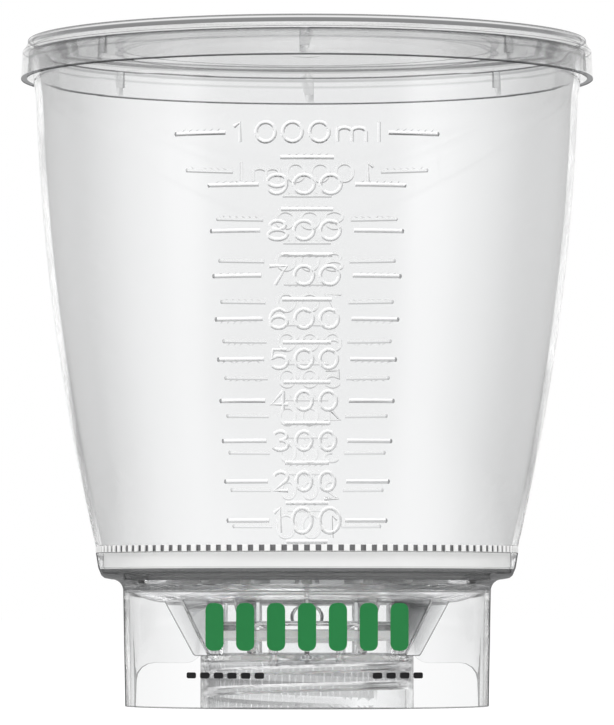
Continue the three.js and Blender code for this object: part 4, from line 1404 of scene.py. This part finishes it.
def painted_base_shade(nodes, sizes, facing, flat):
    """Mask of painted shade on the collar's ledge, the upright outlines, the cut edges, the foot and the
    dish's edge.
    """
    outward, up = from_axis(nodes)
    past_skirt = nodes.over(outward, sizes.skirt_radius + LEDGE_START)
    ledge = nodes.times(dark_bands(nodes, up, sizes.skirt_height, LEDGE_BAND), past_skirt)
    outside = nodes.over(outward, sizes.skirt_radius - OUTLINE_DEPTH)
    strength = nodes.plus(nodes.times(outside, 1.0 - INNER_OUTLINE), INNER_OUTLINE)
    outline = nodes.times(nodes.rest(flat), nodes.ramp(facing, EDGE_ON), strength)
    inside = nodes.under(outward, sizes.skirt_radius - DISH_DEPTH)
    foot = nodes.under(up, FOOT_HEIGHT)
    shown = nodes.largest(nodes.times(inside, nodes.ramp(facing, SLANTED)), foot)
    dish = nodes.times(nodes.ramp(nodes.math("DIVIDE", up, sizes.skirt_height), DISH_BANDS), shown)
    return nodes.largest(ledge, outline, cut_edge(nodes, sizes, outward, up), dish)


class FILTRATION_OT_base(bpy.types.Operator):
    """Make the clear base with its collar, dish, neck, gussets and hose barb"""
    bl_idname = "filtration.base"
    bl_label = "Base"

    def execute(self, context):
        unit = context.scene.filtration_unit
        sizes = unit.base
        body = spun(base_section(sizes, unit.inner.plate_wall))
        body = combined("DIFFERENCE", body, [cutout(sizes)])
        for grown in (around(gusset(sizes), sizes.gussets, BACK), [hose_barb()], [thread(sizes)]):
            body = combined("UNION", body, grown)
        for cutter in vacuum_passage():
            body = combined("DIFFERENCE", body, [cutter])
        plastic = clear_plastic("clear_base", unit.finish, sizes, painted_base_shade, coat=0.4,
                                face_shade=EVEN_SHADE)
        finished(lined(body), "base_body", "base", plastic)
        return {"FINISHED"}


# ---------------------------------------------------------------------------------------------
# Print on the skirt: plain fields and short bars
# ---------------------------------------------------------------------------------------------

# In millimetres, measured to either side of the front and up from the foot
GREEN_BARS = 7
GREEN_REACH = 23.4                   # half length of the row of green bars
GREEN_WIDTH = 4.2
GREEN_LEVELS = (13.4, 24.4)
GREEN_CORNER = 1.6
DARK_DASHES = ((-27.8, 6), (15.1, 4))    # where each row of dashes starts, and how many it has
DARK_WIDTH = 2.2
DARK_PITCH = 3.15
DARK_LEVELS = (7.0, 8.4)
DARK_CORNER = 0.4
INK_THICKNESS = 0.03 * MM
INK_GAP = 0.01 * MM


def print_field(sizes, reach, levels, corner):
    """Thin rounded field of ink on the skirt's front."""
    near, far = (value * MM for value in reach)
    bottom, top = (value * MM for value in levels)
    corners = [(x, z, corner * MM) for x, z in ((near, bottom), (far, bottom), (far, top), (near, top))]
    flat = slab(filleted(corners), 0, 1)
    bmesh.ops.subdivide_edges(flat, edges=flat.edges, cuts=1)
    for x in range(int(near / MM) + 1, int(far / MM) + 1):
        bmesh.ops.bisect_plane(flat, geom=flat.verts[:] + flat.edges[:] + flat.faces[:],
                               plane_co=(x * MM, 0, 0), plane_no=(1, 0, 0))
    for vert in flat.verts:
        across, depth, level = vert.co
        radius = sizes.skirt_radius + sizes.skirt_draft * level / sizes.skirt_height + INK_GAP
        heading = FRONT + math.asin(across / radius)
        radius += INK_THICKNESS * (1 - depth)
        vert.co = (radius * math.cos(heading), radius * math.sin(heading), level)
    return facing_out(flat)


def ink(name, rgb):
    """Printed ink, slightly uneven."""
    material, nodes, shader, _ = new_material(name)
    moulded(nodes, shader, rgb, shade=0.12, roughness=0.5, spread=0.15, grain=3000.0, bump=0.08,
            depth=0.02 * MM)
    shader.inputs["Specular IOR Level"].default_value = 0.2
    return material


class FILTRATION_OT_skirt_print(bpy.types.Operator):
    """Make the plain printed fields on the skirt's front"""
    bl_idname = "filtration.skirt_print"
    bl_label = "Skirt print"

    def execute(self, context):
        unit = context.scene.filtration_unit
        step = (2 * GREEN_REACH - GREEN_WIDTH) / (GREEN_BARS - 1)
        bars = [(i * step - GREEN_REACH, i * step - GREEN_REACH + GREEN_WIDTH) for i in range(GREEN_BARS)]
        dashes = [(start + i * DARK_PITCH, start + i * DARK_PITCH + DARK_WIDTH)
                  for start, number in DARK_DASHES for i in range(number)]
        for tone, fields, levels, corner, rgb in (
                ("green", bars, GREEN_LEVELS, GREEN_CORNER, unit.finish.print_green),
                ("dark", dashes, DARK_LEVELS, DARK_CORNER, unit.finish.print_dark)):
            whole = gathered([print_field(unit.base, reach, levels, corner) for reach in fields])
            finished(whole, f"print_{tone}", None, ink(f"ink_{tone}", rgb))
        return {"FINISHED"}


# ---------------------------------------------------------------------------------------------
# White pieces
# ---------------------------------------------------------------------------------------------

RING_STEPS = 480
RING_GAP = 0.3 * MM                  # between the clamp ring and the collar's walls
RING_FOOT = 1.5 * MM                 # height of the clamp ring's foot on the membrane
NOTCHED = (1.0 * MM, 0.3 * MM)       # how far in from the collar the notches' floor may lie
NOTCH_MARGIN = 0.05 * MM             # keeps the flange's level faces out of the notches' painted shade
PLATE_HUB = 4.0 * MM                 # where the first ring of slots starts
PLATE_RIM = 1.7 * MM
SLOT_SECTORS = (6, 12)               # slots round an inner ring and round an outer one
SLOT_STEPS = 16
PLATE_FEET = 12
PLATE_FEET_AT = 30.0 * MM            # from the axis
PLATE_FOOT_RADIUS = 1.2 * MM
PLATE_FOOT_STEPS = 24
PLATE_FOOT_SINK = 0.3 * MM           # how deep a foot is rooted in the plate


def clamp_ring(sizes, base):
    """The clamp ring's solid, and the cutters of the notches between its teeth."""
    bore = COLLAR_RADIUS - base.collar_wall
    outer = bore - RING_GAP
    inner = outer - sizes.ring_wall
    foot_inner = bore - base.ledge_width + RING_GAP
    foot_top = MEMBRANE_TOP + RING_FOOT
    fine = 0.12 * MM
    ring = spun(filleted([
        (foot_inner, MEMBRANE_TOP, fine),
        (outer, MEMBRANE_TOP, fine),
        (outer, COLLAR_TOP),
        (COLLAR_RADIUS, COLLAR_TOP, fine),
        (COLLAR_RADIUS, FUNNEL_FOOT, fine),
        (inner, FUNNEL_FOOT, fine),
        (inner, foot_top, 0.4 * MM),
        (foot_inner, foot_top, fine)]), steps=RING_STEPS)
    pitch = TURN * COLLAR_RADIUS / sizes.teeth
    size = (2 * sizes.tooth_depth, pitch / 2, 4 * (FUNNEL_FOOT - COLLAR_TOP))
    notch = bmesh.new()
    bmesh.ops.create_cube(notch, size=1.0)
    bmesh.ops.scale(notch, vec=size, verts=notch.verts)
    return ring, around(moved(notch, COLLAR_RADIUS, 0, FUNNEL_FOOT), sizes.teeth, FRONT)


def disc(radius, bottom, top, edge):
    """Flat disc with rounded edges."""
    corners = [(0, bottom), (radius, bottom, edge), (radius, top, edge), (0, top)]
    return spun(filleted(corners, closed=False))


def plate_slots(sizes, bottom, top):
    """Cutters for the rings of curved slots between the support plate's ribs."""
    pitch = (PLATE_RADIUS - PLATE_RIM + sizes.rib - PLATE_HUB) / sizes.slot_rings
    slots = []
    for ring in range(sizes.slot_rings):
        inner = PLATE_HUB + ring * pitch
        outer = inner + pitch - sizes.rib
        sectors = SLOT_SECTORS[0] if ring < sizes.slot_rings / 2 else SLOT_SECTORS[1]
        rib_angle = sizes.rib / ((inner + outer) / 2)
        for i in range(sectors):
            start = TURN * i / sectors + rib_angle / 2
            section = [(inner, bottom), (outer, bottom), (outer, top), (inner, top)]
            slots.append(spun(section, steps=SLOT_STEPS, start=start, angle=TURN / sectors - rib_angle))
    return slots


def support_plate(sizes):
    """The slotted plate on its ring of small feet."""
    seat = LEDGE - sizes.plate_wall
    fine = 0.2 * MM
    slots = plate_slots(sizes, seat - MM, LEDGE + MM)
    plate = combined("DIFFERENCE", disc(PLATE_RADIUS, seat, LEDGE, fine), slots)
    foot_top = seat + PLATE_FOOT_SINK
    corners = [(0, DISH_FLOOR), (PLATE_FOOT_RADIUS, DISH_FLOOR, fine), (PLATE_FOOT_RADIUS, foot_top),
               (0, foot_top)]
    foot = spun(filleted(corners, closed=False), steps=PLATE_FOOT_STEPS)
    return combined("UNION", plate, around(moved(foot, PLATE_FEET_AT, 0, 0), PLATE_FEET))


def gasket_ring(sizes):
    """The gasket's solid."""
    inner = GASKET_RADIUS - sizes.gasket_width
    soft = 0.3 * MM
    return spun(filleted([(inner, GASKET_FOOT, soft), (GASKET_RADIUS, GASKET_FOOT, soft),
                          (GASKET_RADIUS, NECK_CEILING, soft), (inner, NECK_CEILING, soft)]))


def white_plastic(finish):
    """Satin white of the clamp ring and the support plate, with painted shade in the notches between the
    teeth.
    """
    material, nodes, shader, _ = new_material("white_plastic")
    tone = moulded(nodes, shader, finish.white, shade=0.03, roughness=0.42, spread=0.12, grain=1400.0,
                   bump=0.06)
    radius, up = from_axis(nodes)
    # Painted shade in the notches between the teeth
    notches = nodes.times(nodes.over(radius, COLLAR_RADIUS - NOTCHED[0]),
                          nodes.under(radius, COLLAR_RADIUS - NOTCHED[1]),
                          nodes.over(up, COLLAR_TOP + NOTCH_MARGIN),
                          nodes.under(up, FUNNEL_FOOT - NOTCH_MARGIN))
    nodes.feed(shader.inputs["Base Color"], nodes.blend(notches, tone, rgba(finish.notch)))
    return material


def silicone(finish):
    """Soft white of the gasket."""
    material, nodes, shader, _ = new_material("white_silicone")
    moulded(nodes, shader, finish.silicone, shade=0.04, roughness=0.6, spread=0.1, grain=2200.0, bump=0.1,
            depth=0.04 * MM)
    shader.inputs["Subsurface Weight"].default_value = 0.1
    shader.inputs["Subsurface Scale"].default_value = 1.0 * MM
    return material


def membrane_sheet(finish):
    """Fine open fibre of the filter membrane."""
    material, nodes, shader, _ = new_material("membrane_white")
    moulded(nodes, shader, finish.membrane, shade=0.05, roughness=0.85, spread=0.1, grain=6000.0, bump=0.35,
            depth=0.04 * MM)
    return material


class FILTRATION_OT_white_pieces(bpy.types.Operator):
    """Make the clamp ring, the membrane, the support plate and the gasket"""
    bl_idname = "filtration.white_pieces"
    bl_label = "White pieces"

    def execute(self, context):
        unit = context.scene.filtration_unit
        sizes = unit.inner
        plastic = white_plastic(unit.finish)
        ring, notches = clamp_ring(sizes, unit.base)
        finished(combined("DIFFERENCE", ring, notches), "ring_body", "clamp_ring", plastic)
        finished(support_plate(sizes), "plate_body", "support_plate", plastic)
        sheet = disc(MEMBRANE_RADIUS, LEDGE, MEMBRANE_TOP, 0.08 * MM)
        finished(sheet, "membrane_disc", "membrane", membrane_sheet(unit.finish))
        finished(gasket_ring(sizes), "gasket_ring", "gasket", silicone(unit.finish))
        return {"FINISHED"}


# ---------------------------------------------------------------------------------------------
# Panel, registration and the run
# ---------------------------------------------------------------------------------------------

STEPS = (FILTRATION_OT_stage, FILTRATION_OT_base, FILTRATION_OT_white_pieces, FILTRATION_OT_skirt_print,
         FILTRATION_OT_funnel, FILTRATION_OT_lid)


class VIEW3D_PT_filtration(bpy.types.Panel):
    """The unit's making, step by step"""
    bl_label = "Filtration Unit"
    bl_space_type = "VIEW_3D"
    bl_region_type = "UI"
    bl_category = "Filtration"

    def draw(self, context):
        for step in STEPS:
            self.layout.operator(step.bl_idname)


CLASSES = (FunnelSizes, LidSizes, BaseSizes, InnerSizes, FinishColours, StageSettings, UnitSettings,
           *STEPS, VIEW3D_PT_filtration)


def register():
    for item in CLASSES:
        bpy.utils.register_class(item)
    bpy.types.Scene.filtration_unit = PointerProperty(type=UnitSettings)


def unregister():
    del bpy.types.Scene.filtration_unit
    for item in reversed(CLASSES):
        bpy.utils.unregister_class(item)


def main():
    register()
    for step in STEPS:
        family, name = step.bl_idname.split(".")
        getattr(getattr(bpy.ops, family), name)()


if __name__ == "__main__":
    main()
